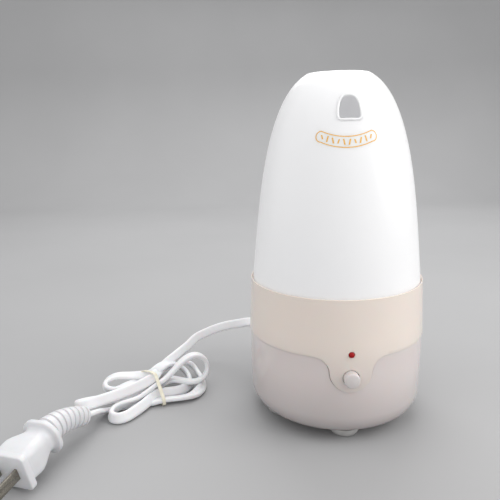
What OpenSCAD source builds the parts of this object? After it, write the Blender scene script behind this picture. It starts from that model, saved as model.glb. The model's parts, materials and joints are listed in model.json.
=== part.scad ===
// Wax warmer pot: a round base with a heated well and a lift-out pot, under a tall frosted dome.
// Millimetres, +Z up, front towards -Y, origin on the floor under the dome's axis.

/* [Base casing] */
// Radius of the casing where its two halves meet
base_r = 55; // [54.5:0.1:56]
// Height of the rubber feet
foot_h = 5.5; // [5:0.1:6]
// Height of the joint between lower shell and upper housing
split_z = 55; // [54.5:0.1:55.5]
// Height of the casing's rim
rim_z = 88.5; // [88.3:0.1:89]
// Outer radius of the rim
rim_r = 53.7; // [53.6:0.05:53.9]
// Wall thickness of the casing
wall = 2.2; // [2:0.1:2.3]

/* [Dome] */
// Radius of the dome at its foot
dome_r = 52.6; // [52.4:0.05:52.65]
// Height of the dome's flat top
dome_top_z = 211.3; // [205:0.5:212]
// Wall thickness of the dome
dome_wall = 1.8; // [1.5:0.1:2]
// Width of the steam vent
vent_w = 12.4; // [10:0.2:13]
// Height of the steam vent
vent_h = 12.4; // [10:0.2:13]

/* [Pot] */
// Outer radius of the lift-out pot
pot_r = 41.5; // [40:0.1:41.7]
// Radius of the pot's rim
pot_rim_r = 45.5; // [45:0.1:46]
// Wall thickness of the pot
pot_wall = 1.2; // [1:0.1:1.5]

/* [Controls] */
// Diameter of the push button
button_d = 9; // [8:0.1:9.2]
// Height of the button's axis
button_z = 43.2; // [43:0.1:43.5]
// How far the button stands out of the bib
button_proud = 4; // [3:0.1:4.5]
// Diameter of the indicator lamp
lamp_d = 3.2; // [3:0.1:3.3]
// Height of the indicator lamp
lamp_z = 57.1; // [57:0.1:57.5]

/* [Mains lead] */
// Width of the flat twin lead
lead_w = 7; // [6:0.2:7]
// Thickness of the flat twin lead
lead_t = 3.4; // [3:0.1:3.6]

/* [Hidden] */

$fn = 96;
fine = 0.01;
gap = 0.3;

// Casing
shell_z = foot_h;
flat_r = 43.4;
corner_z = shell_z + 12.5;
lower_r = base_r - 0.7;
lip_h = 3;
seat_z = rim_z - 3;
deck_t = 2;
deck_r = 43.5;
boss_r = 48.8;
boss_angles = [90, 210, 330];
boss_top_z = split_z + lip_h + 0.3;
column_z = 50;
column_r = 4.6;
screw_r = 1.5;

// Bib: the shield-shaped drop that holds the lamp and the button
bib_r = 12;
bib_low_z = split_z - 20.6;
bib_fillet = 9.5;

// Dome: radius against height, from a tapering superellipse
dome_foot_z = seat_z + 0.05;
dome_span = 129;
dome_taper = 11.7;
dome_base_z = 85;
dome_steps = 28;
vent_low_z = 184.4;
function dome_u(z) = (z - dome_base_z) / dome_span;
function dome_out(z) = (dome_r - dome_taper * dome_u(z)) * pow(1 - pow(dome_u(z), 3.75), 1 / 3);

// Heating
well_in_r = pot_r + 0.5;
well_wall = 1.2;
well_floor_z = 53;
well_base_z = well_floor_z - 1.5;
well_flange_z = seat_z - deck_t - 1;
well_ear_r = 48.2;
well_ears = [30, 150, 270];
pot_floor_z = well_floor_z + 0.2;
heater_r = 22;
heater_t = 4.5;
plate_t = 1.2;
nut_h = 3.2;
stud_r = 2;
plate_z = well_base_z - heater_t - plate_t;
spacer_z = 36;
shield_t = 0.8;
shield_r = 33;
thermostat_y = 32;
fuse_x = -32;
fuse_z = well_base_z - 3.9;

// Controls
bib_out_y = -base_r - 0.1;
button_front_y = bib_out_y - button_proud;
collar_front_y = -52.2;
collar_back_y = -51;
switch_front_y = -47.5;
board_front_y = -41;
board_t = 1.6;
pocket_y = -44.9;
press_travel = 2.5;

block_z = shell_z + wall / 2 + 6;
poles = [5, 11, 17, 23];

// Lead
gland_angle = 130;
gland_z = 34.5;
gland_tip_r = 75;
lead_points = [
    [-48.2, 57.5, 34.5], [-52, 61.5, 34], [-57.5, 66, 32.3], [-63, 69.5, 30], [-71, 74, 27.2],
    [-80.5, 76, 24.1], [-90.5, 75, 20.5], [-98, 71.5, 17.9], [-103, 65, 14.7], [-108, 58, 12],
    [-112, 50, 10.8], [-115.5, 42, 9.8], [-118.5, 33, 8.8]
];
hank_x = -124;
hank_y = 13;
hank_turn = 27;
hank_low = 1.2;
hank_high = 15;
hank_end_r = 16.5;
hank_reach = 22;
hank_waist = 24;
tail_points = [[-147.5, -10, 7], [-150, -16.5, 8], [-152.8, -23.5, 9.6], [-157.5, -33, 12.2]];

// Plug
relief_end = [-157.5, -33, 12.2];
plug_face = [-181.5, -85, 11.9];
plug_turn = [5, 11, 248];
plug_w = 26;
plug_h = 21;
plug_l = 27;
blade_l = 17.5;
blade_w = 6.35;
blade_t = 1.5;
blade_pitch = 12.7;

// ---- Shared shapes -------------------------------------------------------

module polar(angle, r, z = 0) {
    rotate([0, 0, angle]) translate([r, 0, z]) children();
}

module tube(r_out, r_in, z0, z1) {
    difference() {
        translate([0, 0, z0]) cylinder(r = r_out, h = z1 - z0);
        translate([0, 0, z0 - 1]) cylinder(r = r_in, h = z1 - z0 + 2);
    }
}

// A cylinder along +Y from y0 to y1
module y_rod(r, y0, y1, x = 0, z = 0) {
    translate([x, y1, z]) rotate([90, 0, 0]) cylinder(r = r, h = y1 - y0);
}

function arc(cx, cy, rx, ry, a0, a1, n) =
    [for (i = [0:n]) let (a = a0 + (a1 - a0) * i / n) [cx + rx * cos(a), cy + ry * sin(a)]];

// The bib's outline in X and Z, grown by g
module bib_outline(g = 0) {
    half = bib_r + g;
    centre_z = bib_low_z + bib_r;
    reach = bib_r + bib_fillet;
    translate([0, centre_z]) circle(r = half);
    difference() {
        translate([-reach, centre_z]) square([2 * reach, split_z + 0.5 + g - centre_z]);
        for (s = [-1, 1]) translate([s * reach, split_z - bib_fillet]) circle(r = bib_fillet - g);
        for (s = [-1, 1])
            translate([s * reach - reach / 2, centre_z - 1])
                square([reach, split_z - bib_fillet - centre_z + 1]);
    }
    translate([-half, centre_z]) square([2 * half, 6]);
}

module bib_block(g = 0) {
    translate([0, -base_r + 12, 0]) rotate([90, 0, 0]) linear_extrude(18) bib_outline(g);
}

// A screw with a pan head below its shank, pointing up
module screw(r, shank, head_r, head_h) {
    translate([0, 0, -head_h]) cylinder(r = head_r, h = head_h);
    cylinder(r = r, h = shank);
}

// A closed tube swept along points, with an oval section of half-width a and half-thickness b
function sweep_dir(p, i) =
    let (d = p[min(i + 1, len(p) - 1)] - p[max(i - 1, 0)]) d / norm(d);
function sweep_side(d) = let (s = cross([0, 0, 1], d)) norm(s) < 0.05 ? [1, 0, 0] : s / norm(s);
module swept(p, a, b, sides = 8) {
    n = len(p);
    rings = [for (i = [0:n - 1])
        let (d = sweep_dir(p, i), u = sweep_side(d), v = cross(d, u))
            for (k = [0:sides - 1])
                let (t = (k + 0.5) * 360 / sides) p[i] + u * a * cos(t) + v * b * sin(t)];
    faces = concat(
        [[for (k = [0:sides - 1]) k]],
        [for (i = [0:n - 2], k = [0:sides - 1])
            let (m = (k + 1) % sides)
                [i * sides + k, (i + 1) * sides + k, (i + 1) * sides + m, i * sides + m]],
        [[for (k = [sides - 1:-1:0]) (n - 1) * sides + k]]
    );
    polyhedron(points = rings, faces = faces, convexity = 6);
}

// ---- Casing --------------------------------------------------------------

module lower_shell() {
    in_corner = corner_z;
    outer = concat([[0, shell_z]], arc(flat_r, corner_z, lower_r - flat_r, 12.5, -90, 0, 10),
        [[lower_r + 0.3, split_z]]);
    inner = concat([[lower_r + 0.3 - wall, split_z]],
        arc(flat_r - 1.4, in_corner, lower_r - wall - flat_r + 1.4, 12.5 - wall, 0, -90, 10),
        [[0, shell_z + wall]]);
    lip_out = lower_r + 0.3 - wall + 0.05;
    front_half = bib_r + bib_fillet + gap;
    color("ghostwhite") difference() {
        union() {
            rotate_extrude() polygon(concat(outer, inner));
            tube(lip_out, lip_out - 1.6, split_z - 5, split_z + lip_h);
            for (a = boss_angles) polar(a, boss_r, column_z - 1)
                cylinder(r = 3.2, h = boss_top_z - column_z + 1);
            intersection() {
                rotate_extrude() polygon(concat(outer, [[0, split_z]]));
                for (a = boss_angles) polar(a, boss_r, shell_z) cylinder(r = column_r, h = column_z - shell_z + 2);
            }
            // slotted posts for the control board
            for (s = [-1, 1]) translate([s * 14.5 - 1.5, -43, shell_z + wall / 2]) cube([3, 6, 34]);
            // posts for the terminal block and the cord clamp
            for (x = [7, 14]) translate([x, 28, shell_z + wall / 2]) cylinder(r = 2.5, h = 6);
            for (s = [-1, 1]) rotate([0, 0, gland_angle]) translate([42, s * 9, shell_z + wall / 2])
                cylinder(r = 2.8, h = gland_z - lead_t / 2 - shell_z - wall / 2);
        }
        bib_block(gap);
        translate([-front_half, -60, split_z - 1]) cube([2 * front_half, 15, lip_h + 3]);
        for (a = boss_angles) polar(a, boss_r) {
            translate([0, 0, shell_z - 1]) cylinder(r = 2.9, h = column_z - shell_z + 1);
            cylinder(r = screw_r + 0.1, h = 80);
        }
        for (s = [-1, 1]) translate([s * 14.1 - 1.1, board_front_y - 0.1, 30.9])
            cube([2.2, board_t + 0.2, 20]);
        for (s = [-1, 1]) rotate([0, 0, gland_angle]) translate([42, s * 9, gland_z - 12])
            cylinder(r = 1.3, h = 30);
        rotate([0, 0, gland_angle]) translate([46, 0, gland_z]) rotate([0, 90, 0]) cylinder(r = 4.9, h = 12);
        for (i = [0:4]) polar(i * 72 - 90, 37.7, shell_z - 1) cylinder(r = 2.6, h = wall + 2);
    }
}

module upper_housing() {
    in_low = base_r + 0.1 - wall;
    lip_in = dome_r + 0.3;
    section = [
        [base_r + 0.1, split_z], [rim_r, rim_z - 0.7], [rim_r - 0.12, rim_z - 0.2],
        [rim_r - 0.35, rim_z], [lip_in + 0.1, rim_z], [lip_in, rim_z - 0.15], [lip_in, seat_z],
        [deck_r, seat_z], [deck_r, seat_z - deck_t], [rim_r - wall - 0.3, seat_z - deck_t],
        [rim_r - wall - 0.2, seat_z - deck_t - 1], [in_low, split_z]
    ];
    color("white") difference() {
        union() {
            rotate_extrude() polygon(section);
            intersection() {
                tube(base_r + 0.1, in_low, bib_low_z - 1, split_z + 0.5);
                bib_block();
            }
            for (a = boss_angles) polar(a, boss_r, boss_top_z)
                cylinder(r = 3.2, h = seat_z - 1 - boss_top_z);
            for (a = well_ears) polar(a, well_ear_r, well_flange_z) cylinder(r = 2.9, h = 2);
        }
        for (a = boss_angles) polar(a, boss_r, boss_top_z - 1) cylinder(r = screw_r + 0.1, h = 13);
        for (a = well_ears) polar(a, well_ear_r, well_flange_z - 1) cylinder(r = screw_r + 0.1, h = 3.5);
        y_rod(button_d / 2 + gap, -60, -45, 0, button_z);
        y_rod(lamp_d / 2 + 0.25, -60, -45, 0, lamp_z);
    }
}

module foot(i) {
    color("gainsboro") polar(i * 72 - 90, 37.7) {
        rotate_extrude() polygon(concat([[0, 0]], arc(5.6, foot_h, 3.8, foot_h, -90, 0, 8), [[0, foot_h]]));
        cylinder(r = 2.5, h = foot_h + wall);
        translate([0, 0, foot_h + wall]) cylinder(r1 = 3.3, r2 = 2.4, h = 1.2);
    }
}

module housing_screws() {
    color("silver") for (a = boss_angles) polar(a, boss_r, column_z) screw(screw_r, 18, 2.8, 2.3);
}

// ---- Dome and pot --------------------------------------------------------

// Half an ellipse on a flat foot with round lower corners, in X and Z, grown by g
module vent_outline(g = 0) {
    a = vent_w / 2 + g;
    b = vent_h + g;
    c = 1.6 + g;
    polygon(concat(
        arc(a - c - 0.1, vent_low_z - g + c, c, c, -90, -10, 5),
        arc(0, vent_low_z - g, a, b + g, 18, 162, 20),
        arc(-a + c + 0.1, vent_low_z - g + c, c, c, -170, -90, 5)
    ));
}

module vent_block(g = 0) {
    rotate([90, 0, 0]) linear_extrude(60) vent_outline(g);
}

module dome_wall_solid(extra, inset) {
    zs = [for (i = [0:dome_steps]) dome_foot_z + (dome_top_z - dome_foot_z) * sin(90 * i / dome_steps)];
    outer = [for (z = zs) [dome_out(z) + extra, z]];
    in_span = dome_top_z - inset - dome_foot_z;
    zi = [for (i = [dome_steps:-1:0]) dome_foot_z + in_span * sin(90 * i / dome_steps)];
    inner = [for (z = zi) [dome_out(z) - inset, z]];
    rotate_extrude() polygon(concat(outer, [[0, dome_top_z + extra], [0, dome_top_z - inset]], inner));
}

module dome_cover() {
    color("aliceblue", 0.6) difference() {
        union() {
            dome_wall_solid(0, dome_wall);
            // raised lip round the vent
            intersection() {
                dome_wall_solid(0.6, dome_wall);
                vent_block(1.1);
            }
        }
        vent_block();
    }
}

module inner_pot() {
    c = 6;
    in_r = pot_r - pot_wall;
    color("silver") rotate_extrude() polygon(concat(
        [[0, pot_floor_z]],
        arc(pot_r - c, pot_floor_z + c, c, c, -90, 0, 6),
        [[pot_r, seat_z + fine], [pot_rim_r, seat_z + fine], [pot_rim_r, seat_z + 1.1],
            [pot_rim_r - 0.2, seat_z + pot_wall], [in_r + 0.8, seat_z + pot_wall], [in_r, seat_z + 0.5]],
        arc(pot_r - c, pot_floor_z + 1.5 + c - pot_wall, c - pot_wall, c - pot_wall, 0, -90, 6),
        [[0, pot_floor_z + 1.5]]
    ));
}

// ---- Heating -------------------------------------------------------------

module heating_well() {
    c = 6;
    out_r = well_in_r + well_wall;
    color("gray") difference() {
        union() {
            rotate_extrude() polygon(concat(
                [[0, well_base_z]],
                arc(out_r - c - 1, well_base_z + c + 1, c + 1, c + 1, -90, 0, 6),
                [[out_r, well_flange_z - 1.2], [out_r + 1.9, well_flange_z - 1.2],
                    [out_r + 1.9, well_flange_z], [well_in_r, well_flange_z]],
                arc(well_in_r - c, well_floor_z + c, c, c, 0, -90, 6),
                [[0, well_floor_z]]
            ));
            for (a = well_ears) polar(a, well_ear_r, well_flange_z - 1.2) {
                cylinder(r = 3, h = 1.2);
                translate([-3.8, -3, 0]) cube([3.8, 6, 1.2]);
            }
            translate([0, 0, 31]) cylinder(r = stud_r, h = well_base_z - 31 + 0.5);
            // pads that the thermostat and the fuse clip screw on to
            for (s = [-1, 1]) translate([s * 11.5, thermostat_y, well_base_z - 1.2]) cylinder(r = 2.4, h = 2.4);
            translate([fuse_x, 0, well_base_z - 1.2]) cylinder(r = 3, h = 2.4);
        }
        for (a = well_ears) polar(a, well_ear_r, well_flange_z - 2) cylinder(r = screw_r + 0.1, h = 4);
        for (s = [-1, 1]) translate([s * 11.5, thermostat_y, well_base_z - 2]) cylinder(r = 1.45, h = 3);
    }
}

module well_gasket() {
    color("tomato") tube(well_in_r + well_wall + 1.9, deck_r, well_flange_z, seat_z - deck_t);
}

module well_screws() {
    color("silver") for (a = well_ears) polar(a, well_ear_r, well_flange_z - 1.2) screw(screw_r, 3.4, 2.7, 1.9);
}

module heater_disc() {
    color("ivory") difference() {
        translate([0, 0, well_base_z - heater_t]) cylinder(r = heater_r, h = heater_t);
        translate([0, 0, well_base_z - heater_t - 1]) cylinder(r = stud_r + 0.3, h = heater_t + 2);
    }
}

module clamp_plate() {
    color("silver") difference() {
        union() {
            translate([0, 0, plate_z]) cylinder(r = 10, h = plate_t);
            for (a = [0, 120, 240]) rotate([0, 0, a]) translate([0, -4, plate_z]) cube([19, 8, plate_t]);
        }
        translate([0, 0, plate_z - 1]) cylinder(r = stud_r + 0.2, h = plate_t + 2);
    }
}

module clamp_nuts() {
    color("silver") for (z = [plate_z - nut_h, spacer_z - shield_t - nut_h]) difference() {
        translate([0, 0, z]) cylinder(r = 4.04, h = nut_h, $fn = 6);
        translate([0, 0, z - 1]) cylinder(r = stud_r + 0.05, h = nut_h + 2);
    }
}

module shield_spacer() {
    color("silver") tube(3.4, stud_r + 0.2, spacer_z, plate_z - nut_h);
}

module heat_shield() {
    color("lightgray") difference() {
        union() {
            translate([0, 0, spacer_z - shield_t]) cylinder(r = shield_r, h = shield_t);
            tube(shield_r, shield_r - shield_t, spacer_z - shield_t - 4, spacer_z);
        }
        translate([0, 0, spacer_z - 2]) cylinder(r = stud_r + 0.2, h = 4);
        for (a = [60, 200, 300]) polar(a, 24, spacer_z - 5) cylinder(r = 3, h = 10);
    }
}

module thermostat() {
    z = well_base_z;
    color("saddlebrown") translate([0, thermostat_y, z]) {
        translate([0, 0, -10]) cylinder(r = 7.8, h = 10);
        difference() {
            for (s = [-1, 1]) translate([s * 11.5 - 3, -3, -1.9]) translate([s > 0 ? -2 : 0, 0, 0]) cube([8, 6, 0.7]);
            for (s = [-1, 1]) translate([s * 11.5, 0, -3]) cylinder(r = 1.6, h = 4);
        }
        for (s = [-1, 1]) translate([s * 4 - 0.4, -3, -14]) cube([0.8, 6, 4.5]);
    }
}

module thermostat_screws() {
    color("silver") for (s = [-1, 1]) translate([s * 11.5, thermostat_y, well_base_z - 1.9])
        screw(1.4, 2.6, 2.6, 1.4);
}

module thermal_fuse() {
    color("gold") y_rod(1.9, -7, 7, fuse_x, fuse_z);
    color("silver") for (y = [-12, 7]) y_rod(0.5, y, y + 5, fuse_x, fuse_z);
}

module fuse_clip() {
    z = fuse_z;
    color("silver") difference() {
        union() {
            y_rod(2.6, -3, 3, fuse_x, z);
            translate([fuse_x - 2.6, -3, z]) cube([5.2, 6, well_base_z - 1.2 - z]);
        }
        y_rod(1.95, -4, 4, fuse_x, z);
    }
}

// ---- Controls ------------------------------------------------------------

module control_board() {
    color("darkgreen") difference() {
        translate([-14, board_front_y, 31]) cube([28, board_t, 19.3]);
        for (s = [-1, 1]) y_rod(0.6, board_front_y - 1, board_front_y + 3, s * 10, 47.5);
    }
}

module lamp_resistor() {
    color("tan") {
        translate([-9.5, board_front_y - 1.6, 36]) rotate([0, 0, 0]) cylinder(r = 1.2, h = 7);
        translate([-9.5, board_front_y - 1.6, 34.5]) cylinder(r = 0.35, h = 10);
    }
    color("silver") for (z = [34.5, 44.1]) translate([-9.85, board_front_y - 1.9, z]) cube([0.7, 1.9, 0.4]);
}

module switch_body() {
    color("dimgray") difference() {
        translate([-5, switch_front_y, button_z - 5]) cube([10, board_front_y - switch_front_y, 10]);
        y_rod(4, switch_front_y - 1, pocket_y, 0, button_z);
        translate([-1.85, pocket_y - 1, button_z - 1.85]) cube([3.7, 4.5, 3.7]);
    }
}

module switch_plunger() {
    color("whitesmoke") translate([-1.6, collar_back_y, button_z - 1.6]) cube([3.2, 6.8, 3.2]);
}

module push_button() {
    r = button_d / 2;
    crown = 0.7;
    color("white") translate([0, 0, button_z]) rotate([90, 0, 0]) rotate_extrude()
        polygon(concat(
            [[0, -collar_back_y], [r + 1.2, -collar_back_y], [r + 1.2, -collar_front_y],
                [r, -collar_front_y]],
            arc(r - 0.6, -button_front_y - crown - 0.6, 0.6, 0.6, 0, 75, 4),
            [for (i = [5:-1:0]) let (x = (r - 0.8) * i / 6) [x, -button_front_y - crown * pow(x / r, 2)]]
        ));
}

module button_spring() {
    turns = 4;
    steps = 12;
    r = 3.1;
    long = pocket_y - collar_back_y - 0.62;
    points = [for (i = [0:turns * steps]) let (a = 360 * i / steps)
        [r * cos(a), collar_back_y + 0.31 + long * i / (turns * steps), button_z + r * sin(a)]];
    color("silver") swept(points, 0.25, 0.25, 6);
}

module indicator_lamp() {
    r = lamp_d / 2;
    tip = bib_out_y - 1.4;
    color("firebrick") translate([0, 0, lamp_z]) rotate([90, 0, 0]) rotate_extrude() polygon(concat(
        [[0, -collar_back_y], [r + 0.35, -collar_back_y], [r + 0.35, -collar_back_y + 1], [r, -collar_back_y + 1]],
        arc(0, -tip - r, r, r, 0, 90, 8)
    ));
    color("silver") for (s = [-1, 1]) translate([s * 1.27 - 0.25, 0, 0]) {
        translate([0, collar_back_y - 0.3, lamp_z - 0.25]) cube([0.5, 2.8, 0.5]);
        translate([0, -49, 49]) cube([0.5, 0.5, lamp_z - 48.75]);
        translate([0, -49, 49]) cube([0.5, 8, 0.5]);
    }
}

// ---- Wiring --------------------------------------------------------------

module terminal_block() {
    color("white") difference() {
        translate([2, 20, block_z]) cube([24, 16, 12]);
        for (x = poles) {
            y_rod(1.6, 15, 40, x, block_z + 5);
            translate([x, 24, block_z + 5]) cylinder(r = 1.45, h = 10);
            translate([x, 32, block_z + 5]) cylinder(r = 1.45, h = 10);
        }
    }
}

module terminal_screws() {
    color("gold") for (x = poles, y = [24, 32]) translate([x, y, block_z + 6.8]) cylinder(r = 1.4, h = 3.6);
}

module cord_gland() {
    color("white") polar(gland_angle, 0, gland_z) rotate([0, 90, 0]) {
        translate([0, 0, 49.6]) cylinder(r = 6, h = 2);
        translate([0, 0, 50]) cylinder(r = 4.8, h = 5.5);
        translate([0, 0, 54.5]) cylinder(r = 6.3, h = 1.8);
        translate([0, 0, 56]) cylinder(r1 = 5.2, r2 = 3.9, h = gland_tip_r - 56);
    }
}

module cord_clamp() {
    color("ivory") rotate([0, 0, gland_angle]) translate([42, 0, gland_z - lead_t / 2]) difference() {
        translate([-3, -12, 0]) cube([6, 24, lead_t + 2.5]);
        translate([-4, -lead_w / 2, -1]) cube([8, lead_w, lead_t + 1]);
        for (s = [-1, 1]) translate([0, s * 9, -1]) cylinder(r = 1.3, h = 10);
    }
}

module cord_clamp_screws() {
    color("silver") rotate([0, 0, gland_angle]) for (s = [-1, 1])
        translate([42, s * 9, gland_z + lead_t / 2 + 2.5]) rotate([180, 0, 0]) screw(1.2, 14, 2.3, 1.4);
}

module mains_wires() {
    z = block_z + 5;
    color("lightgray") rotate([0, 0, gland_angle]) translate([39.5, -lead_w / 2 + 0.1, gland_z - lead_t / 2 + 0.05])
        cube([10, lead_w - 0.2, lead_t - 0.1]);
    for (s = [-1, 1]) color(s > 0 ? "saddlebrown" : "royalblue") swept(
        [[-26.4 + 1.15 * s, 31.4 + s, gland_z], [-24.4 + 1.15 * s, 29.1 + s, 33.5], [-23 + 1.3 * s, 27.4 + s, 29.5],
            [-18 + 1.5 * s, 22 + 1.5 * s, 25], [-8, 14 + 2 * s, 21], [4 - 4 * s, 10 + 2 * s, 18.5],
            [7.2 - 3 * s, 13 + s, z], [8 - 3 * s, 17, z], [8 - 3 * s, 22, z]], 1.1, 1.1);
}

module heater_wires() {
    z = block_z + 5;
    f = fuse_z;
    color("whitesmoke") {
        swept([[5, 34, z], [5, 40, 19], [5, 43, 25], [5, 43, 34], [4.5, 41, 39], [4, 37.5, 40], [4, 34.8, 40]], 1, 1);
        swept([[-4, 29.2, 39.5], [-6, 25, 39], [-14, 24, 39], [-24, 22, 41], [-31, 17, 46], [fuse_x, 14, f],
            [fuse_x, 11.5, f]], 1, 1);
        swept([[fuse_x, -11.5, f], [-31, -16, 47], [-27, -15, 46.5], [-24, -8, 48.5], [-21.7, -6, 49.2]], 1, 1);
        swept([[16.3, 14.6, 49.2], [22, 21, 45], [26, 27, 38], [27, 33, 30], [24, 39, 21], [18.5, 40, 18],
            [17, 37.5, z], [17, 34, z]], 1, 1);
    }
}

module switch_wires() {
    z = block_z + 5;
    color("firebrick") {
        swept([[10, -39.5, 47.5], [10, -37.6, 44], [10.8, -38, 36], [11, -37, 29], [16, -27, 20], [22, -8, 15],
            [24, 8, 15], [23, 15, z], [23, 22, z]], 0.9, 0.9);
        swept([[-10, -39.5, 47.5], [-10, -37.6, 44], [-11, -38, 36], [-11, -37, 29], [-6, -28, 20], [4, -10, 14],
            [14, 6, 14], [17, 14, z], [17, 22, z]], 0.9, 0.9);
    }
}

// ---- Lead and plug -------------------------------------------------------

module cord_lead() {
    color("white") swept(lead_points, lead_w / 2, lead_t / 2);
}

module hank_outline() {
    for (s = [-1, 1]) translate([s * hank_reach, 0]) circle(r = hank_end_r);
    square([2 * hank_reach, hank_waist], center = true);
}

module cord_hank() {
    color("white") translate([hank_x, hank_y, hank_low]) rotate([0, 0, hank_turn])
        linear_extrude(hank_high - hank_low) hank_outline();
}

module cord_tie() {
    color("ivory") translate([hank_x, hank_y, 0]) rotate([0, 0, hank_turn]) difference() {
        translate([-1.5, -hank_waist / 2 - 1, 0.1]) cube([3, hank_waist + 2, hank_high + 0.9]);
        translate([-2, -hank_waist / 2 - 0.05, hank_low - 0.1])
            cube([4, hank_waist + 0.1, hank_high - hank_low + 0.15]);
    }
}

module cord_tail() {
    color("white") swept(tail_points, lead_w / 2, lead_t / 2);
}

// Places its children in the plug's own frame, +X towards the blades and the face at X = 0
module on_plug() {
    translate(plug_face) rotate(plug_turn) children();
}

module plug_relief() {
    direction = rotate_vector([-1, 0, 0]);
    start = plug_face + direction * plug_l;
    run = relief_end - start;
    long = norm(run);
    color("white") translate(start) rotate([0, acos(run[2] / long), atan2(run[1], run[0])])
        cylinder(r1 = 7.2, r2 = 5, h = long);
}

function rotate_vector(v) =
    let (x = plug_turn[0], y = plug_turn[1], z = plug_turn[2],
        a = [v[0], v[1] * cos(x) - v[2] * sin(x), v[1] * sin(x) + v[2] * cos(x)],
        b = [a[0] * cos(y) + a[2] * sin(y), a[1], -a[0] * sin(y) + a[2] * cos(y)])
        [b[0] * cos(z) - b[1] * sin(z), b[0] * sin(z) + b[1] * cos(z), b[2]];

module plug_body() {
    color("white") on_plug() difference() {
        union() {
            // face plate, waist and flange
            translate([-3, 0, 0]) rotate([0, 90, 0]) linear_extrude(3) rounded(plug_h, plug_w, 4);
            translate([-plug_l + 1, 0, 0]) rotate([0, 90, 0]) linear_extrude(plug_l - 2) rounded(16, 19, 4);
            translate([-plug_l - 1.5, 0, 0]) rotate([0, 90, 0]) linear_extrude(3.5) rounded(20, 25, 9);
        }
        for (s = [-1, 1]) translate([-9, s * blade_pitch / 2 - blade_t / 2, -blade_w / 2])
            cube([12, blade_t, blade_w]);
        translate([-plug_l - 3, 0, 0]) rotate([0, 90, 0]) cylinder(r = 3, h = 2);
    }
}

module rounded(h, w, r) {
    difference() {
        square([h, w], center = true);
        for (a = [-1, 1], b = [-1, 1]) translate([a * (h / 2), b * (w / 2)]) difference() {
            square(2 * r, center = true);
            translate([-a * r, -b * r]) circle(r = r);
            translate([-a * r - r, -b * r - r]) translate([a > 0 ? -r : r, 0]) square([2 * r, 2 * r]);
            translate([-a * r - r, -b * r - r]) translate([0, b > 0 ? -r : r]) square([2 * r, 2 * r]);
        }
    }
}

module plug_blades() {
    color("silver") on_plug() for (s = [-1, 1])
        translate([-9, s * blade_pitch / 2 - blade_t / 2, -blade_w / 2]) difference() {
            cube([9 + blade_l, blade_t, blade_w]);
            translate([9 + blade_l - 4.5, -1, blade_w / 2]) rotate([-90, 0, 0]) cylinder(r = 1.3, h = 4);
        }
}

lower_shell();
upper_housing();
dome_cover();
inner_pot();
heating_well();
well_gasket();
well_screws();
heater_disc();
clamp_plate();
clamp_nuts();
shield_spacer();
heat_shield();
thermostat();
thermostat_screws();
thermal_fuse();
fuse_clip();
control_board();
lamp_resistor();
switch_body();
switch_plunger();
push_button();
button_spring();
indicator_lamp();
terminal_block();
terminal_screws();
cord_gland();
cord_clamp();
cord_clamp_screws();
mains_wires();
heater_wires();
switch_wires();
housing_screws();
foot(0);  // foot_front
foot(1);  // foot_right_front
foot(2);  // foot_right_back
foot(3);  // foot_left_back
foot(4);  // foot_left_front
cord_lead();
cord_hank();
cord_tie();
cord_tail();
plug_relief();
plug_body();
plug_blades();
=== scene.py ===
# %% [markdown]
# # A wax warmer pot, from frame to finish
# This lesson dresses a mechanical model of a small electric warmer: a round white base, a tall frosted
# dome with a vent, a push button with a lamp above it, and a flat twin lead folded into a hank.
# The mechanical model is loaded first and never changes. Everything made here is placed in its frame.

# %% Load the frame
import bpy, bmesh, math
from mathutils import Matrix, Vector
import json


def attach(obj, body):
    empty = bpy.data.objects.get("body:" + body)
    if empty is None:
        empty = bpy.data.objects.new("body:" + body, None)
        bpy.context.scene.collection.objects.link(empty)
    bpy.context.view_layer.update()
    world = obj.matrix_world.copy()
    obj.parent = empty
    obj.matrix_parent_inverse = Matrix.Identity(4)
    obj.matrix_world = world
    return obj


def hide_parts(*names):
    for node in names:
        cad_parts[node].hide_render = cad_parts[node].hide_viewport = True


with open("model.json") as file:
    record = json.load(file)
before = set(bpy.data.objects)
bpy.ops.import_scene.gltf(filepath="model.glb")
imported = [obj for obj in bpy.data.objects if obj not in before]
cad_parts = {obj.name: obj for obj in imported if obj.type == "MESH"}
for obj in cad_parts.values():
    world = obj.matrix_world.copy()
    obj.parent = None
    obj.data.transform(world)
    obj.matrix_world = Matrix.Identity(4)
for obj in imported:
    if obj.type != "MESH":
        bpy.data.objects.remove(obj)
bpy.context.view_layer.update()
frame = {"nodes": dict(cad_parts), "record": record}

MM = 0.001

# %% [markdown]
# ## The camera
# The viewing place and direction are set straight from numbers: the eye is about 32 cm in front of the
# base and 18 cm up, looking a little down. A 37.8 mm lens on a 36 mm sensor gives the same field of view
# as a phone held close, which is why the dome narrows towards its top. Depth of field stays off.

# %% Camera
eye = Vector((-59.4, -323.6, 180.2)) * MM
look = Vector((0.0159, 0.9743, -0.2248)).normalized()
side = Vector((0.9996, -0.0211, -0.0210)).normalized()
lift = side.cross(look).normalized()
camera_data = bpy.data.cameras.new("camera")
camera_data.sensor_width = 36.0
camera_data.lens = 37.8144
camera_data.clip_start = 0.01
camera = bpy.data.objects.new("camera", camera_data)
bpy.context.scene.collection.objects.link(camera)
camera.matrix_world = Matrix((
    (side.x, lift.x, -look.x, eye.x), (side.y, lift.y, -look.y, eye.y),
    (side.z, lift.z, -look.z, eye.z), (0, 0, 0, 1)))
bpy.context.scene.camera = camera
print("camera at", [round(v, 3) for v in eye])

# %% [markdown]
# ## Small helpers for meshes
# A maker's toolbox: `piece` turns points and faces into an object whose origin is the frame's origin,
# `turned` spins a closed section round the upright axis as a lathe would, and `soft_edges` shades the
# result smooth while it keeps real corners sharp. Closed shells with outward faces are checked by
# their signed volume, because a lathe run the wrong way round gives an inside-out part.

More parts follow.
